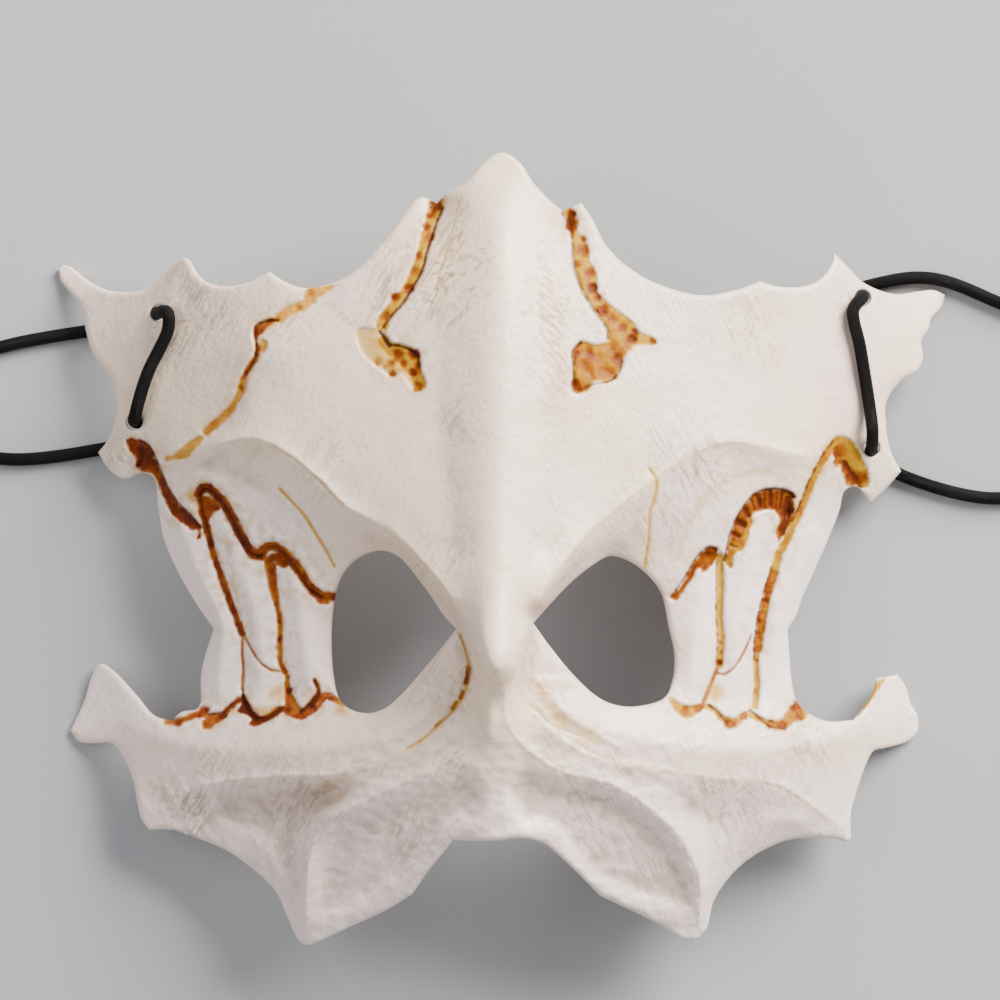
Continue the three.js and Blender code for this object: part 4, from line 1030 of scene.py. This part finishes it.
# %% [markdown]
# ## The flat sheet
#
# The front needs a mesh that follows the outline exactly, is fine along the cracks and plain elsewhere. A
# displaced grid would step along the outline. Here points go where detail is wanted: on the rim, in rows
# close to it that carry its rounding, and on two honeycombs, a fine one along the marks and a coarse one
# elsewhere. These helpers find and place such points.

# %% Points in the plane


def nearest(points, others):
    """Distance from each point to the nearest of the others, and that one's index."""
    tree = KDTree(len(others))
    for i, other in enumerate(others):
        tree.insert((*other, 0), i)
    tree.balance()
    found = [tree.find((*point, 0)) for point in points]
    return np.array([row[2] for row in found]), np.array([row[1] for row in found])


def inside(points, polygons):
    """Which points have an odd number of polygon edges to their right."""
    odd = np.zeros(len(points), bool)
    x, y = points.T
    for polygon in polygons:
        for (x0, y0), (x1, y1) in zip(polygon, np.roll(polygon, -1, axis=0)):
            if y0 != y1:
                odd ^= ((y0 > y) != (y1 > y)) & (x < x0 + (y - y0) * (x1 - x0) / (y1 - y0))
    return odd


def honeycomb(low, high, step):
    """Points of a triangle grid over a box."""
    across = np.arange(low[0], high[0], step)
    x, y = np.meshgrid(across, np.arange(low[1], high[1], step * math.sqrt(3) / 2))
    x = x + np.where(np.arange(len(x)) % 2, step / 2, 0)[:, None]
    return np.column_stack([x.ravel(), y.ravel()])


print("marks on the bone:", int(inside(marks, loops).sum()), "of", len(marks), "points")

# %% [markdown]
# A constrained Delaunay fill joins the points with well shaped triangles and keeps the loops as edges.
# Triangles outside the bone, and slivers without any area, are left out.

# %% Points of the sheet and their fill
RIM_ROWS = (0.12, 0.4, 0.9, 1.6)  # millimetres in from the rim
ROW_CLEAR = 0.9  # a row's point stays if it is this part of the offset away from the whole rim
SIDE_PROBE = 0.05  # a step to either side of the rim, to find the bone
SHEET_STEP = 0.95
FINE_STEP = 0.45
FINE_REACH = 1.3  # millimetres on both sides of a groove or of a stain's border
SLIVER = 1e-4  # square millimetres
SAME_POINT = 1e-6

rim_points = np.vstack(loops)
rim_lines = [smooth_line([*loop, loop[0]], RIM_STEP / 6) for loop in loops]
hole_first = sum(len(line) for line in rim_lines[:len(rim_loops)])
rim_fine = np.vstack(rim_lines)


def inward(loop, offset):
    """The loop's points moved square to it onto the bone."""
    ahead = np.roll(loop, -1, axis=0) - np.roll(loop, 1, axis=0)
    square = np.column_stack([-ahead[:, 1], ahead[:, 0]])
    square = square / np.linalg.norm(ahead, axis=1)[:, None]
    sign = np.where(inside(loop + SIDE_PROBE * square, loops), 1, -1)[:, None]
    return loop + sign * offset * square


def sheet_points(step, fine_step):
    """The rim's points, the rows next to it, and honeycombs on the rest of the bone."""
    kept = []
    for offset in RIM_ROWS:
        row = np.vstack([inward(loop, offset) for loop in loops])
        kept.append(row[nearest(row, rim_fine)[0] > ROW_CLEAR * offset])
    low, high = rim_points.min(axis=0), rim_points.max(axis=0)
    coarse = honeycomb(low, high, step)
    coarse = coarse[inside(coarse, loops)]
    coarse = coarse[nearest(coarse, rim_fine)[0] > RIM_ROWS[-1] + step / 2]
    if fine_step:
        coarse = coarse[nearest(coarse, marks)[0] > FINE_REACH]
        fine = honeycomb(low, high, fine_step)
        fine = fine[nearest(fine, marks)[0] <= FINE_REACH]
        fine = fine[inside(fine, loops)]
        kept.append(fine[nearest(fine, rim_fine)[0] > RIM_ROWS[-1] + fine_step / 2])
    return np.vstack([rim_points, *kept, coarse])


def fill(points):
    """Triangles between the points, on the bone. The loops' points come first and stay edges."""
    edges = []
    for loop in loops:
        start = len(edges)
        edges += [(start + i, start + (i + 1) % len(loop)) for i in range(len(loop))]
    corners = [Vector(point) for point in points]
    made = geometry.delaunay_2d_cdt(corners, edges, [], 0, SAME_POINT, False)
    flat, faces = np.array([tuple(v) for v in made[0]]), np.array(made[2])
    a, b, c = flat[faces].transpose(1, 0, 2)
    ab, ac = b - a, c - a
    area = ab[:, 0] * ac[:, 1] - ab[:, 1] * ac[:, 0]
    return flat, faces[inside((a + b + c) / 3, loops) & (abs(area) > SLIVER)]


front_flat, front_faces = fill(sheet_points(SHEET_STEP, FINE_STEP))
print("front:", len(front_flat), "points", len(front_faces), "triangles")

# %% [markdown]
# ## Relief on the front
#
# The height of each front point is the bare face, less the grooves, pockets and sunk plates, plus the
# lips and crests, plus the dents of the sculptor's tool, and less the rounding of the rim. A displacement
# texture could give part of this, but distances to the drawn lines give sharp grooves without an image,
# and the same distances serve for the paint. These helpers measure them.

# %% Distances and soft steps


def line_offsets(points, line):
    """Distance of each point to a line of points, and on which side it lies: 1 left, -1 right."""
    distance, index = nearest(points, line)
    ahead = np.gradient(line, axis=0)[index]
    away = points - line[index]
    return distance, np.sign(ahead[:, 0] * away[:, 1] - ahead[:, 1] * away[:, 0])


def ease(value, edge):
    """0 below -edge, 1 above edge, and smooth between."""
    t = np.clip(value / (2 * edge) + 0.5, 0, 1)
    return t * t * (3 - 2 * t)


def bell(distance, width):
    return np.exp(-((distance / width) ** 2))


def near(points, line, reach):
    """Indices of the points in the line's box, widened by a reach."""
    low, high = line.min(axis=0) - reach, line.max(axis=0) + reach
    return np.flatnonzero(((points > low) & (points < high)).all(axis=1))


def noise_at(points, size, seed):
    return np.array([noise.noise((x / size, y / size, seed)) for x, y in points])


def signed_border(points, border):
    """Distance to a closed border, positive inside."""
    return np.where(inside(points, [border]), 1, -1) * nearest(points, border)[0]


print("a soft step at a quarter of its way:", ease(-0.5, 1))

# %% [markdown]
# Each groove is cut with sloping walls, and a coat of paint is noted for it. A little noise on the
# distances makes the paint's edge ragged, as wiped paint is, and near its border a coat is paler.

# %% Grooves and lips
GROOVE_WALL = 0.55  # half the width over which a groove's wall falls
PAINT_EDGE = 0.34  # paint fades over this much on both sides of its border
RAGGED = ((1.6, 0.45), (0.6, 0.25))  # size and reach of the paint's ragged edge
RAGGED_SEED = 1.5
BAND_RAGGED = 0.7  # share of the raggedness for each millimetre of a band's half width
BORDER_TONE = 0.72  # part of its tint that a coat has at its border
BORDER_INSET = 1.3  # how far in from the border a coat gains its tint, in paint edges
LIP_REACH = 3.2

sunk, raised, cover, tone, dark = np.zeros((5, len(front_flat)))
ragged = sum(reach * noise_at(front_flat, size, RAGGED_SEED) for size, reach in RAGGED)
coats = []


def carve(at, within, depth, tint, rough=1, fade=PAINT_EDGE):
    """Sinks the points at some indices, given how far inside a mark they are, and notes a coat."""
    sunk[at] = np.maximum(sunk[at], depth * ease(within, GROOVE_WALL))
    edge = within + rough * ragged[at]
    shade = BORDER_TONE + (1 - BORDER_TONE) * ease(edge - BORDER_INSET * PAINT_EDGE, PAINT_EDGE)
    coats.append((tint, at, ease(edge, fade), shade))


for name, band in BANDS.items():
    at = near(front_flat, band_lines[name], 3 * LIP_REACH)
    distance, side = line_offsets(front_flat[at], band_lines[name])
    rough = min(1, BAND_RAGGED * band.half_width)
    carve(at, band.half_width - distance, band.depth, band.tint, rough)
    lip = abs(band.lip) * (side == np.sign(band.lip)) * bell(distance, LIP_REACH)
    raised[at] = np.maximum(raised[at], lip)
print("deepest groove:", round(sunk.max(), 2), "mm, highest lip:", round(raised.max(), 2), "mm")

# %% [markdown]
# Crests fall off to both sides like a pinched fold of clay. Pockets are cut as the grooves are, inside
# their outlines, and thin pale paint fades over a broad border. The sunk plates of the jaws have long soft
# walls and no paint.

# %% Crests, pockets and sunk plates
CREST_REACH = 1.6
POCKET_REACH = 3
SOFT_TINT = 0.32  # a patch with less tint than this fades over a broad border
SOFT_EDGE = 2.0

for name, crest in CRESTS.items():
    at = near(front_flat, crest_lines[name], 5 * CREST_REACH)
    distance = nearest(front_flat[at], crest_lines[name])[0]
    raised[at] = np.maximum(raised[at], crest.height * np.exp(-distance / CREST_REACH))
for name, patch in PATCHES.items():
    at = near(front_flat, borders[name], POCKET_REACH)
    fade = SOFT_EDGE if patch.tint < SOFT_TINT else PAINT_EDGE
    within = signed_border(front_flat[at], borders[name])
    carve(at, within, patch.depth, patch.tint, fade=fade)
for plate in HOLLOWS.values():
    border = border_of(plate.pixels)
    at = near(front_flat, border, 0)
    within = signed_border(front_flat[at], border)
    sunk[at] += plate.depth * ease(within - plate.wall, plate.wall)
print("deepest plate:", round(sunk.max(), 2), "mm")

# %% [markdown]
# Dark edges and pits cut a little deeper into what is there. Strokes lie on the surface, so they are paint
# alone.

# %% Dark edges, pits and strokes
LINE_REACH = 2
DARK_RAGGED = 0.4
DARK_EDGE = 0.7  # parts of the paint's edge, as for the pits
PIT_DEPTH = 0.4  # millimetres for each millimetre of radius
PIT_EDGE = 1.5
STROKE_HALF_WIDTH = 0.24
STROKE_TINT = 0.5

# Each dark edge is a painted shadow where the bone above overhangs a groove, with its thickest paint.
for name, line in LINES.items():
    at = near(front_flat, dark_lines[name], LINE_REACH)
    within = line.half_width - nearest(front_flat[at], dark_lines[name])[0]
    sunk[at] += line.depth * ease(within, GROOVE_WALL)
    dark[at] = np.maximum(dark[at], ease(within + DARK_RAGGED * ragged[at], DARK_EDGE * PAINT_EDGE))
for x, y, pixels, tint in [spot for row in SPOTS.values() for spot in row]:
    place, radius = from_photo([(x, y)]), pixels * PHOTO_SCALE
    at = near(front_flat, place, 3 * radius)
    distance = np.linalg.norm(front_flat[at] - place, axis=1)
    sunk[at] += PIT_DEPTH * radius * bell(distance, radius)
    share = ease(radius - distance + ragged[at], PIT_EDGE * PAINT_EDGE)
    coats.append((tint, at, share, np.ones(len(at))))
for line, cover_share in strokes:
    at = near(front_flat, line, LINE_REACH)
    within = STROKE_HALF_WIDTH - nearest(front_flat[at], line)[0]
    share = cover_share * ease(within, PAINT_EDGE)
    coats.append((STROKE_TINT, at, share, np.ones(len(at))))
print("coats of paint:", len(coats), "dark points:", int((dark > 0.5).sum()))

# %% [markdown]
# The coats go on from the palest to the darkest, as washes do. A darker coat deepens the tone below it,
# and a very thin one lets the bone show through. Stacked shader layers could do this too, but two hundred
# of them would render slowly, so the points carry the result.

# %% Coats of paint
THIN_TINT = 0.2  # paint with less tint than this lets the bone show through
DRY = 0.05  # cover below which the bone counts as bare

for tint, at, share, shade in sorted(coats, key=lambda coat: coat[0]):
    wet = share > 0
    at, share, shade = at[wet], share[wet], shade[wet]
    darker = tone[at] + share * np.maximum(tint * shade - tone[at], 0)
    tone[at] = np.where(cover[at] > DRY, darker, tint * shade)
    cover[at] = np.maximum(cover[at], share * min(1, tint / THIN_TINT))
print("stained points:", int((cover > 0.5).sum()))

# %% [markdown]
# ## Tool marks
#
# The bone between the cracks isn't smooth either. The jaw plates and the corners below the eyes are
# dimpled by the tool, which cells of a Voronoi pattern give, fine ridges fan up from each jaw point into
# the scoop below the cheek, and the whole face has soft lumps.

# %% Dimples, ridges and lumps
DIMPLE = 0.6
DIMPLE_SIZE = 2.4
DIMPLE_LENGTH = 1.7  # a dimple's length for its height
DIMPLE_LEVEL = 0.4  # a cell's mean, which leaves the plate where it is
DIMPLE_LEAST = 0.1  # on the rest of the face
PLATE_TOP, PLATE_TOP_FADE = -48, 10  # where the dimples set in, and half the run to full depth
PLATE_HALF, PLATE_SIDE_FADE = 54, 8
PLATE_MIDDLE = -1
EYE_CORNERS = [(438, 688), (560, 692)]  # pixels
EYE_CORNER_REACH = 13
JAW_POINTS = {"left": (303, 945), "right": (697, 942)}  # pixels
RIDGE = 0.4
RIDGE_FAN = 28.0  # ridges in one radian
RIDGE_LENGTH = 14
RIDGE_SWING = {"left": 0.004, "right": -0.004}  # radians for each millimetre from the jaw point
RIDGE_SEED = 4.5
SCOOP_TOP, SCOOP_TOP_FADE = -63, 4
SCOOP_START, SCOOP_SIDE_FADE = 50, 6
LUMP = 0.22
LUMP_SIZE = 7.0
LUMP_SEED = 7.5


def dimples(points):
    """Shallow cups left by the tool, strongest on the plates between the jaws."""
    cup = (DIMPLE_LENGTH * DIMPLE_SIZE, DIMPLE_SIZE)
    cells = [noise.voronoi((x / cup[0], y / cup[1], 0))[0][0] for x, y in points]
    x, y = points.T
    plates = ease(PLATE_TOP - y, PLATE_TOP_FADE)
    plates = plates * ease(PLATE_HALF - abs(x - PLATE_MIDDLE), PLATE_SIDE_FADE)
    for corner in from_photo(EYE_CORNERS):
        distance = np.linalg.norm(points - corner, axis=1)
        plates = np.maximum(plates, bell(distance, EYE_CORNER_REACH))
    return DIMPLE * (DIMPLE_LEAST + plates) * (np.array(cells) - DIMPLE_LEVEL)


def jaw_ridges(points):
    """Fine ridges that fan from the jaw points into the scoops."""
    height = np.zeros(len(points))
    x, y = points.T
    scoops = ease(SCOOP_TOP - y, SCOOP_TOP_FADE) * ease(abs(x) - SCOOP_START, SCOOP_SIDE_FADE)
    for side, pixel in JAW_POINTS.items():
        jaw = from_photo([pixel])
        away = points - jaw
        reach = np.linalg.norm(away, axis=1)
        angle = np.arctan2(away[:, 1], away[:, 0]) + RIDGE_SWING[side] * reach
        places = zip(angle * RIDGE_FAN, reach / RIDGE_LENGTH)
        wave = np.array([noise.noise((a, r, RIDGE_SEED)) for a, r in places])
        height += RIDGE * scoops * (np.sign(jaw[0, 0]) == np.sign(x)) * wave
    return height


lumps = LUMP * noise_at(front_flat, LUMP_SIZE, LUMP_SEED)
tool_marks = dimples(front_flat) + jaw_ridges(front_flat) + lumps
print("tool marks:", round(tool_marks.min(), 2), "to", round(tool_marks.max(), 2), "mm")

# %% [markdown]
# ## Rim and wall
#
# The casting's rim and its cord holes are rounded, and the wall is about 3 mm thick. The back is the face
# lowered along z, so on a steep flank the step has to be larger to keep that thickness. Even the deepest
# groove leaves some wall.

# %% Heights of the front
RIM_ROUND = 1.5
HOLE_ROUND = 0.9
WALL = 3.2
STEEPEST_WALL = 2.4  # the most that a flank's slope adds, as a factor
THINNEST = 0.4
SLOPE_STEP = 1.5


def rounding(points):
    """How far the rim's rounding lowers each point."""
    distance, index = nearest(points, rim_fine)
    radius = np.where(index < hole_first, RIM_ROUND, HOLE_ROUND)
    short = np.clip(1 - distance / radius, 0, 1)
    return radius * (1 - np.sqrt(1 - short**2))


def wall_depth(points):
    """Thickness of the wall along z, which grows on a steep flank."""
    slope = []
    for step in SLOPE_STEP * np.eye(2):
        rise = face_height(points + step) - face_height(points - step)
        slope.append(rise / (2 * SLOPE_STEP))
    return WALL * np.minimum(np.sqrt(1 + slope[0] ** 2 + slope[1] ** 2), STEEPEST_WALL)


bare = face_height(front_flat)
behind = np.maximum(bare - wall_depth(front_flat), 0)
front_z = bare - sunk + raised + tool_marks - rounding(front_flat)
front_z = np.maximum(front_z, behind + THINNEST)
print("front heights:", round(front_z.min(), 1), "to", round(front_z.max(), 1), "mm")

# %% [markdown]
# ## Where dirt gathers and shade is painted
#
# Wiped paint stays longest where the bone is lower than its surroundings. Blurring the heights along the
# mesh and taking the true heights off shows such places: a short blur finds creases, a long one valleys,
# which get some dirt and a painted shade. Paint that is blurred in the same way gives the yellow haze
# beside the cracks.

# %% Creases, valleys, grime and haze
CREASE_PASSES, CREASE_CLEAR, CREASE_FADE = 40, 2.5, 1  # blur, and where it sets in from the rim
VALLEY_PASSES, VALLEY_CLEAR, VALLEY_FADE = 240, 5, 2.5
HAZE_PASSES = 60


def spread(values, passes):
    """The values of the front points, blurred along the mesh."""
    sides = np.vstack([front_faces[:, [0, 1]], front_faces[:, [1, 2]], front_faces[:, [2, 0]]])
    a, b = np.vstack([sides, sides[:, ::-1]]).T
    count = np.bincount(a, minlength=len(values))
    for turn in range(passes):
        values = (values + np.bincount(a, values[b], len(values)) / count) / 2
    return values


def round_patches(groups):
    """How much of some round soft patches each front point has."""
    amount = np.zeros(len(front_flat))
    for x, y, radius, share in [patch for row in groups.values() for patch in row]:
        distance = np.linalg.norm(front_flat - from_photo([(x, y)]), axis=1)
        amount = np.maximum(amount, share * bell(distance, radius * PHOTO_SCALE))
    return amount


from_rim = nearest(front_flat, rim_fine)[0]
crease = (spread(front_z, CREASE_PASSES) - front_z) * ease(from_rim - CREASE_CLEAR, CREASE_FADE)
# a long blur finds the broad valleys, which get some dirt and a painted shade
valley = (spread(front_z, VALLEY_PASSES) - front_z) * ease(from_rim - VALLEY_CLEAR, VALLEY_FADE)
halo = np.maximum(spread(cover * tone, HAZE_PASSES), round_patches(DUST))
grime = round_patches(GRIME)
print("creases up to", round(crease.max(), 2), "mm, valleys up to", round(valley.max(), 2), "mm")

# %% [markdown]
# ## The shell
#
# The back is the same face lowered by the wall, laid with fewer points because it is plain. It shares the
# loops' points with the front, so a strip of faces between the two rims closes the wall. A Solidify
# modifier would do it too, but it would copy every groove to the back. The pads under the wing tips and
# knobs are flat where the casting lies on the floor.

# %% The closed wall
BACK_STEP = 1.7
BACK_ROUND = 0.6

back_flat, back_faces = fill(sheet_points(BACK_STEP, None))
back_z = np.maximum(face_height(back_flat) - wall_depth(back_flat), 0)
back_lift = rounding(back_flat) * BACK_ROUND / RIM_ROUND
back_z = back_z + np.where(back_z > BACK_ROUND, back_lift, 0)


def shell_mesh():
    shape = bmesh.new()
    front = [shape.verts.new((x * MM, y * MM, z * MM)) for (x, y), z in zip(front_flat, front_z)]
    back = [shape.verts.new((x * MM, y * MM, z * MM)) for (x, y), z in zip(back_flat, back_z)]
    for sheet, faces in ((front, front_faces), (back, back_faces)):
        for face in faces:
            shape.faces.new([sheet[i] for i in face])
    start = 0
    for loop in loops:
        ring = [start + (i % len(loop)) for i in range(len(loop) + 1)]
        for a, b in zip(ring, ring[1:]):
            shape.faces.new((front[a], front[b], back[b], back[a]))
        start += len(loop)
    bmesh.ops.recalc_face_normals(shape, faces=shape.faces)
    mesh = bpy.data.meshes.new("skull_shell")
    shape.to_mesh(mesh)
    triangles = sum(len(face.verts) - 2 for face in shape.faces)
    open_edges = sum(not edge.is_manifold for edge in shape.edges)
    print("shell:", triangles, "triangles,", open_edges, "open edges")
    print("shell volume:", round(shape.calc_volume() / MM**3 / 1000, 1), "cm3")
    shape.free()
    return mesh


shell_wall = shell_mesh()

# %% [markdown]
# The paint travels with the mesh as attributes, a number for each point. The material reads them by name,
# so no image is needed. The back carries no paint.

# %% Paint on the points
PAINT_LAYERS = {
    "cover": cover,
    "tone": spread(tone, 1),
    "dark": dark,
    "crease": crease,
    "valley": valley,
    "halo": halo,
    "grime": grime,
}
for name, values in PAINT_LAYERS.items():
    layer = shell_wall.attributes.new(name, "FLOAT", "POINT")
    whole = np.concatenate([values, np.zeros(len(back_flat))])
    layer.data.foreach_set("value", whole.astype(np.float32))
print("paint layers:", ", ".join(PAINT_LAYERS))

# %% [markdown]
# ## Antiqued bone
#
# The casting is sprayed bone white. Its colour drifts between a warm white and a cream in big clouds.
# The jaws, which face down, are a little more lilac, a painted shade, and the teeth are paler, a painted
# light. The paintbox for the bone also reads places on the mask: x and y, and the distance from the keel,
# which is rounded so that patterns mirror without an edge.

# %% Bare bone
PLAIN_BONE, PLAIN_GLOSS = (0.82, 0.77, 0.71), 0.4  # until the nodes are joined
WARM_BONE, CREAM_BONE = (0.83, 0.655, 0.575), (0.84, 0.665, 0.50)
# painted shade: the downward-facing jaws are a little more lilac
JAW_SHADE_BONE = (0.81, 0.66, 0.615)
# painted light: the teeth are paler than the rest of the bone
TOOTH_LIGHT_BONE = (0.92, 0.77, 0.725)
Clouds = namedtuple("Clouds", "size detail low high")  # lumps in millimetres, and where they set in
BONE_CLOUDS = Clouds(34, 3, 0.35, 0.65)
JAW_RANGE = (-0.045, -0.075)  # metres, where a colour sets in and where it is full
TOOTH_SIDES = (0.04, 0.06)
TOOTH_TOPS = (0.03, 0.005)
TOOTH_FEET = (-0.055, -0.045)
KEEL_TURN = 0.012  # metres, how broadly patterns turn over at the keel


class BonePaintbox(Paintbox):
    """A paintbox that knows places on the mask and its painted attributes."""

    def __init__(self, material):
        super().__init__(material)
        self.place = self.make("ShaderNodeTexCoord").outputs["Object"]
        self.x, self.y, self.z = self.make("ShaderNodeSeparateXYZ", {0: self.place}).outputs
        square = self.sums("MULTIPLY", self.x, self.x)
        self.aside = self.sums("SQRT", self.sums("ADD", square, KEEL_TURN**2))

    def clouds(self, size, detail):
        """Noise with lumps of a size in millimetres."""
        lumps = {"Vector": self.place, "Scale": 1 / (size * MM), "Detail": detail}
        return self.make("ShaderNodeTexNoise", lumps).outputs[0]

    def between(self, value, low, high):
        """The value's run from low to high as 0 to 1."""
        run = {"Value": value, "From Min": low, "From Max": high}
        return self.make("ShaderNodeMapRange", run).outputs[0]

    def patchy(self, clouds):
        """Clouds with bare gaps between them, from 0 to 1."""
        return self.between(self.clouds(clouds.size, clouds.detail), clouds.low, clouds.high)

    def from_to(self, value, low, high):
        """The value's run from 0 to 1 as low to high."""
        run = {"Value": value, "To Min": low, "To Max": high}
        return self.make("ShaderNodeMapRange", run).outputs[0]

    def painted(self, name):
        return self.make("ShaderNodeAttribute", attribute_name=name).outputs["Fac"]

    def times(self, first, *others):
        for other in others:
            first = self.sums("MULTIPLY", first, other)
        return first


def bare_bone(box):
    bone = box.blend(box.patchy(BONE_CLOUDS), WARM_BONE, CREAM_BONE)
    bone = box.blend(box.between(box.y, *JAW_RANGE), bone, JAW_SHADE_BONE)
    teeth = box.times(box.between(box.aside, *TOOTH_SIDES), box.between(box.y, *TOOTH_TOPS),
                      box.between(box.y, *TOOTH_FEET))
    return box.blend(teeth, bone, TOOTH_LIGHT_BONE)


bone = plain_material("antiqued bone", PLAIN_BONE, PLAIN_GLOSS)
bone_box = BonePaintbox(bone)
bone_colour = bare_bone(bone_box)
print("nodes for the bare bone:", len(bone.node_tree.nodes))

# %% [markdown]
# Dirt dulls the bone in places. Fine strokes run down both flanks of the keel, where the cloth wiped, and
# specks lie between them. Creases keep a grey brown film, valleys a faint one that is dirt and painted
# shade, and the haze beside the cracks is yellow. Noise makes every one of them patchy.

# %% Dirt and haze
GRAIN_TURN = 0.47  # radians by which the strokes slant
GRAIN_SIZE = (0.9, 9, 9)  # millimetres across and along a stroke, and in depth
GRAIN_DETAIL = 4
GRAIN_START = (1.06 * KEEL_TURN, 1.35 * KEEL_TURN)  # strokes set in beside the keel
GRAIN_RANGE = (0.46, 0.6)
GRAIN_CLOUDS = Clouds(9, 4, 0.36, 0.58)
SPECKS, SPECK_SHARE = Clouds(1.8, 3, 0.55, 0.66), 0.8
GRIME_BROWN, GRIME_SHARE = (0.25, 0.16, 0.08), 0.95
Haze = namedtuple("Haze", "reach clouds share colour")
HAZES = {
    "crease": Haze((0.03, 0.5), Clouds(4, 5, 0.3, 0.7), 0.5, (0.26, 0.165, 0.09)),
    # valleys: a faint grey brown in the broad low places, dirt and painted shade
    "valley": Haze((0.1, 2.2), Clouds(7, 6, 0.35, 0.65), 0.15, (0.33, 0.225, 0.155)),
    "halo": Haze((0.01, 0.3), Clouds(3, 5, 0.42, 0.64), 0.62, (0.50, 0.29, 0.06)),
}


def wiped_strokes(box):
    """Long thin noise that slants away from the keel on both sides."""
    mirrored = box.make("ShaderNodeCombineXYZ", {0: box.aside, 1: box.y, 2: box.z}).outputs[0]
    slant = {"Vector": mirrored, "Rotation": (0, 0, GRAIN_TURN), "Scale": [s * MM for s in GRAIN_SIZE]}
    slant = box.make("ShaderNodeMapping", slant, vector_type="TEXTURE").outputs[0]
    grain = {"Vector": slant, "Scale": 1, "Detail": GRAIN_DETAIL}
    grain = box.make("ShaderNodeTexNoise", grain).outputs[0]
    return box.times(grain, box.between(box.aside, *GRAIN_START))


def soiled(box, colour, grain):
    grain = box.times(box.between(grain, *GRAIN_RANGE), box.patchy(GRAIN_CLOUDS))
    dirt = box.sums("MAXIMUM", grain, box.times(box.patchy(SPECKS), SPECK_SHARE))
    colour = box.blend(box.times(dirt, box.painted("grime"), GRIME_SHARE), colour, GRIME_BROWN)
    for name, haze in HAZES.items():
        there = box.between(box.painted(name), *haze.reach)
        film = box.times(there, box.patchy(haze.clouds), haze.share)
        colour = box.blend(film, colour, haze.colour)
    return colour


grain = wiped_strokes(bone_box)
bone_colour = soiled(bone_box, bone_colour, grain)
print("nodes with dirt:", len(bone.node_tree.nodes))

# %% [markdown]
# The wash in the cracks runs from ochre at its thinnest through amber to a dark red brown, and it is
# blotchy, because it was wiped off by hand. It is redder at the left temple and teeth, and more yellow from
# the forehead to the right. A colour ramp turns the tone into paint, so that one attribute is enough for
# all its shades, and the dark edges, a painted shadow along the grooves, come last.

# %% Brown wash
WASH = {
    0: (0.80, 0.56, 0.25), 0.22: (0.60, 0.335, 0.07), 0.42: (0.44, 0.185, 0.018),
    0.6: (0.31, 0.085, 0.011), 0.8: (0.20, 0.036, 0.008), 1: (0.10, 0.017, 0.006),
}
OCHRE = (0.9, 1.08, 0.42)  # what the yellower paint is multiplied by
OCHRE_START = (-0.05, -0.03)  # metres, where the yellower paint sets in and is full
OCHRE_TONES = (0.12, 0.4)  # the thinnest paint stays as it is
BLOTCH, FINE_BLOTCH = (3.4, 1), (1.2, 2)  # millimetres and detail
FINE_SHARE = 0.5
BLOTCH_RANGE = (-0.3, 1.8)
WASH_STRENGTH = 2
EDGE_SHADOW_BROWN, EDGE_SHARE = (0.085, 0.0155, 0.0055), 0.93


def wash_colour(box):
    """The colour of the paint at each place."""
    blotch = box.sums("ADD", box.clouds(*BLOTCH), box.times(box.clouds(*FINE_BLOTCH), FINE_SHARE))
    wash = box.times(box.painted("tone"), box.between(blotch, *BLOTCH_RANGE), WASH_STRENGTH)
    ramp = box.make("ShaderNodeValToRGB", {0: wash})
    stops = ramp.color_ramp.elements
    for position in list(WASH)[1:-1]:
        stops.new(position)
    for stop, colour in zip(stops, WASH.values()):
        stop.color = (*colour, 1)
    ochre = box.times(box.between(box.x, *OCHRE_START), box.between(wash, *OCHRE_TONES))
    return box.blend(ochre, ramp.outputs[0], OCHRE, how="MULTIPLY")


bone_colour = bone_box.blend(bone_box.painted("cover"), bone_colour, wash_colour(bone_box))
# Dark edges: a painted shadow along the grooves with the thickest paint, and the ribs' dark paint.
edges = bone_box.times(bone_box.painted("dark"), EDGE_SHARE)
bone_colour = bone_box.blend(edges, bone_colour, EDGE_SHADOW_BROWN)
print("nodes with paint:", len(bone.node_tree.nodes))

# %% [markdown]
# A satin varnish lies on the bone. Its gloss varies, the painted cracks are matt, and the spray left a
# grain so fine that a bump is enough for it, while everything larger is in the mesh.

# %% Varnish
GLOSS = (0.2, 0.44)  # roughness
GLOSS_CLOUDS = (5, 5)  # millimetres and detail, as for the spray
SHINE = (0.5, 0.06)  # specular level, from bare bone to full paint
SPRAY = (1.6, 6)
RELIEF_CLOUDS = Clouds(14, 3, 0.42, 0.72)
STROKE_RELIEF = 1.5
BUMP_DEPTH = 0.0005  # metres
BUMP_STRENGTH = 0.45


def varnish(box, colour, grain):
    scratches = box.times(grain, box.patchy(RELIEF_CLOUDS), STROKE_RELIEF)
    height = box.sums("ADD", box.clouds(*SPRAY), scratches)
    bump = {"Height": height, "Distance": BUMP_DEPTH, "Strength": BUMP_STRENGTH}
    box.join(
        Base_Color=colour,
        Normal=box.make("ShaderNodeBump", bump).outputs["Normal"],
        Roughness=box.from_to(box.clouds(*GLOSS_CLOUDS), *GLOSS),
        Specular_IOR_Level=box.from_to(box.painted("cover"), *SHINE),
    )


varnish(bone_box, bone_colour, grain)
shell = add_piece("skull_shell_cast", shell_wall, bone, "skull_shell")
print("shell faces:", len(shell.data.polygons))

# %% [markdown]
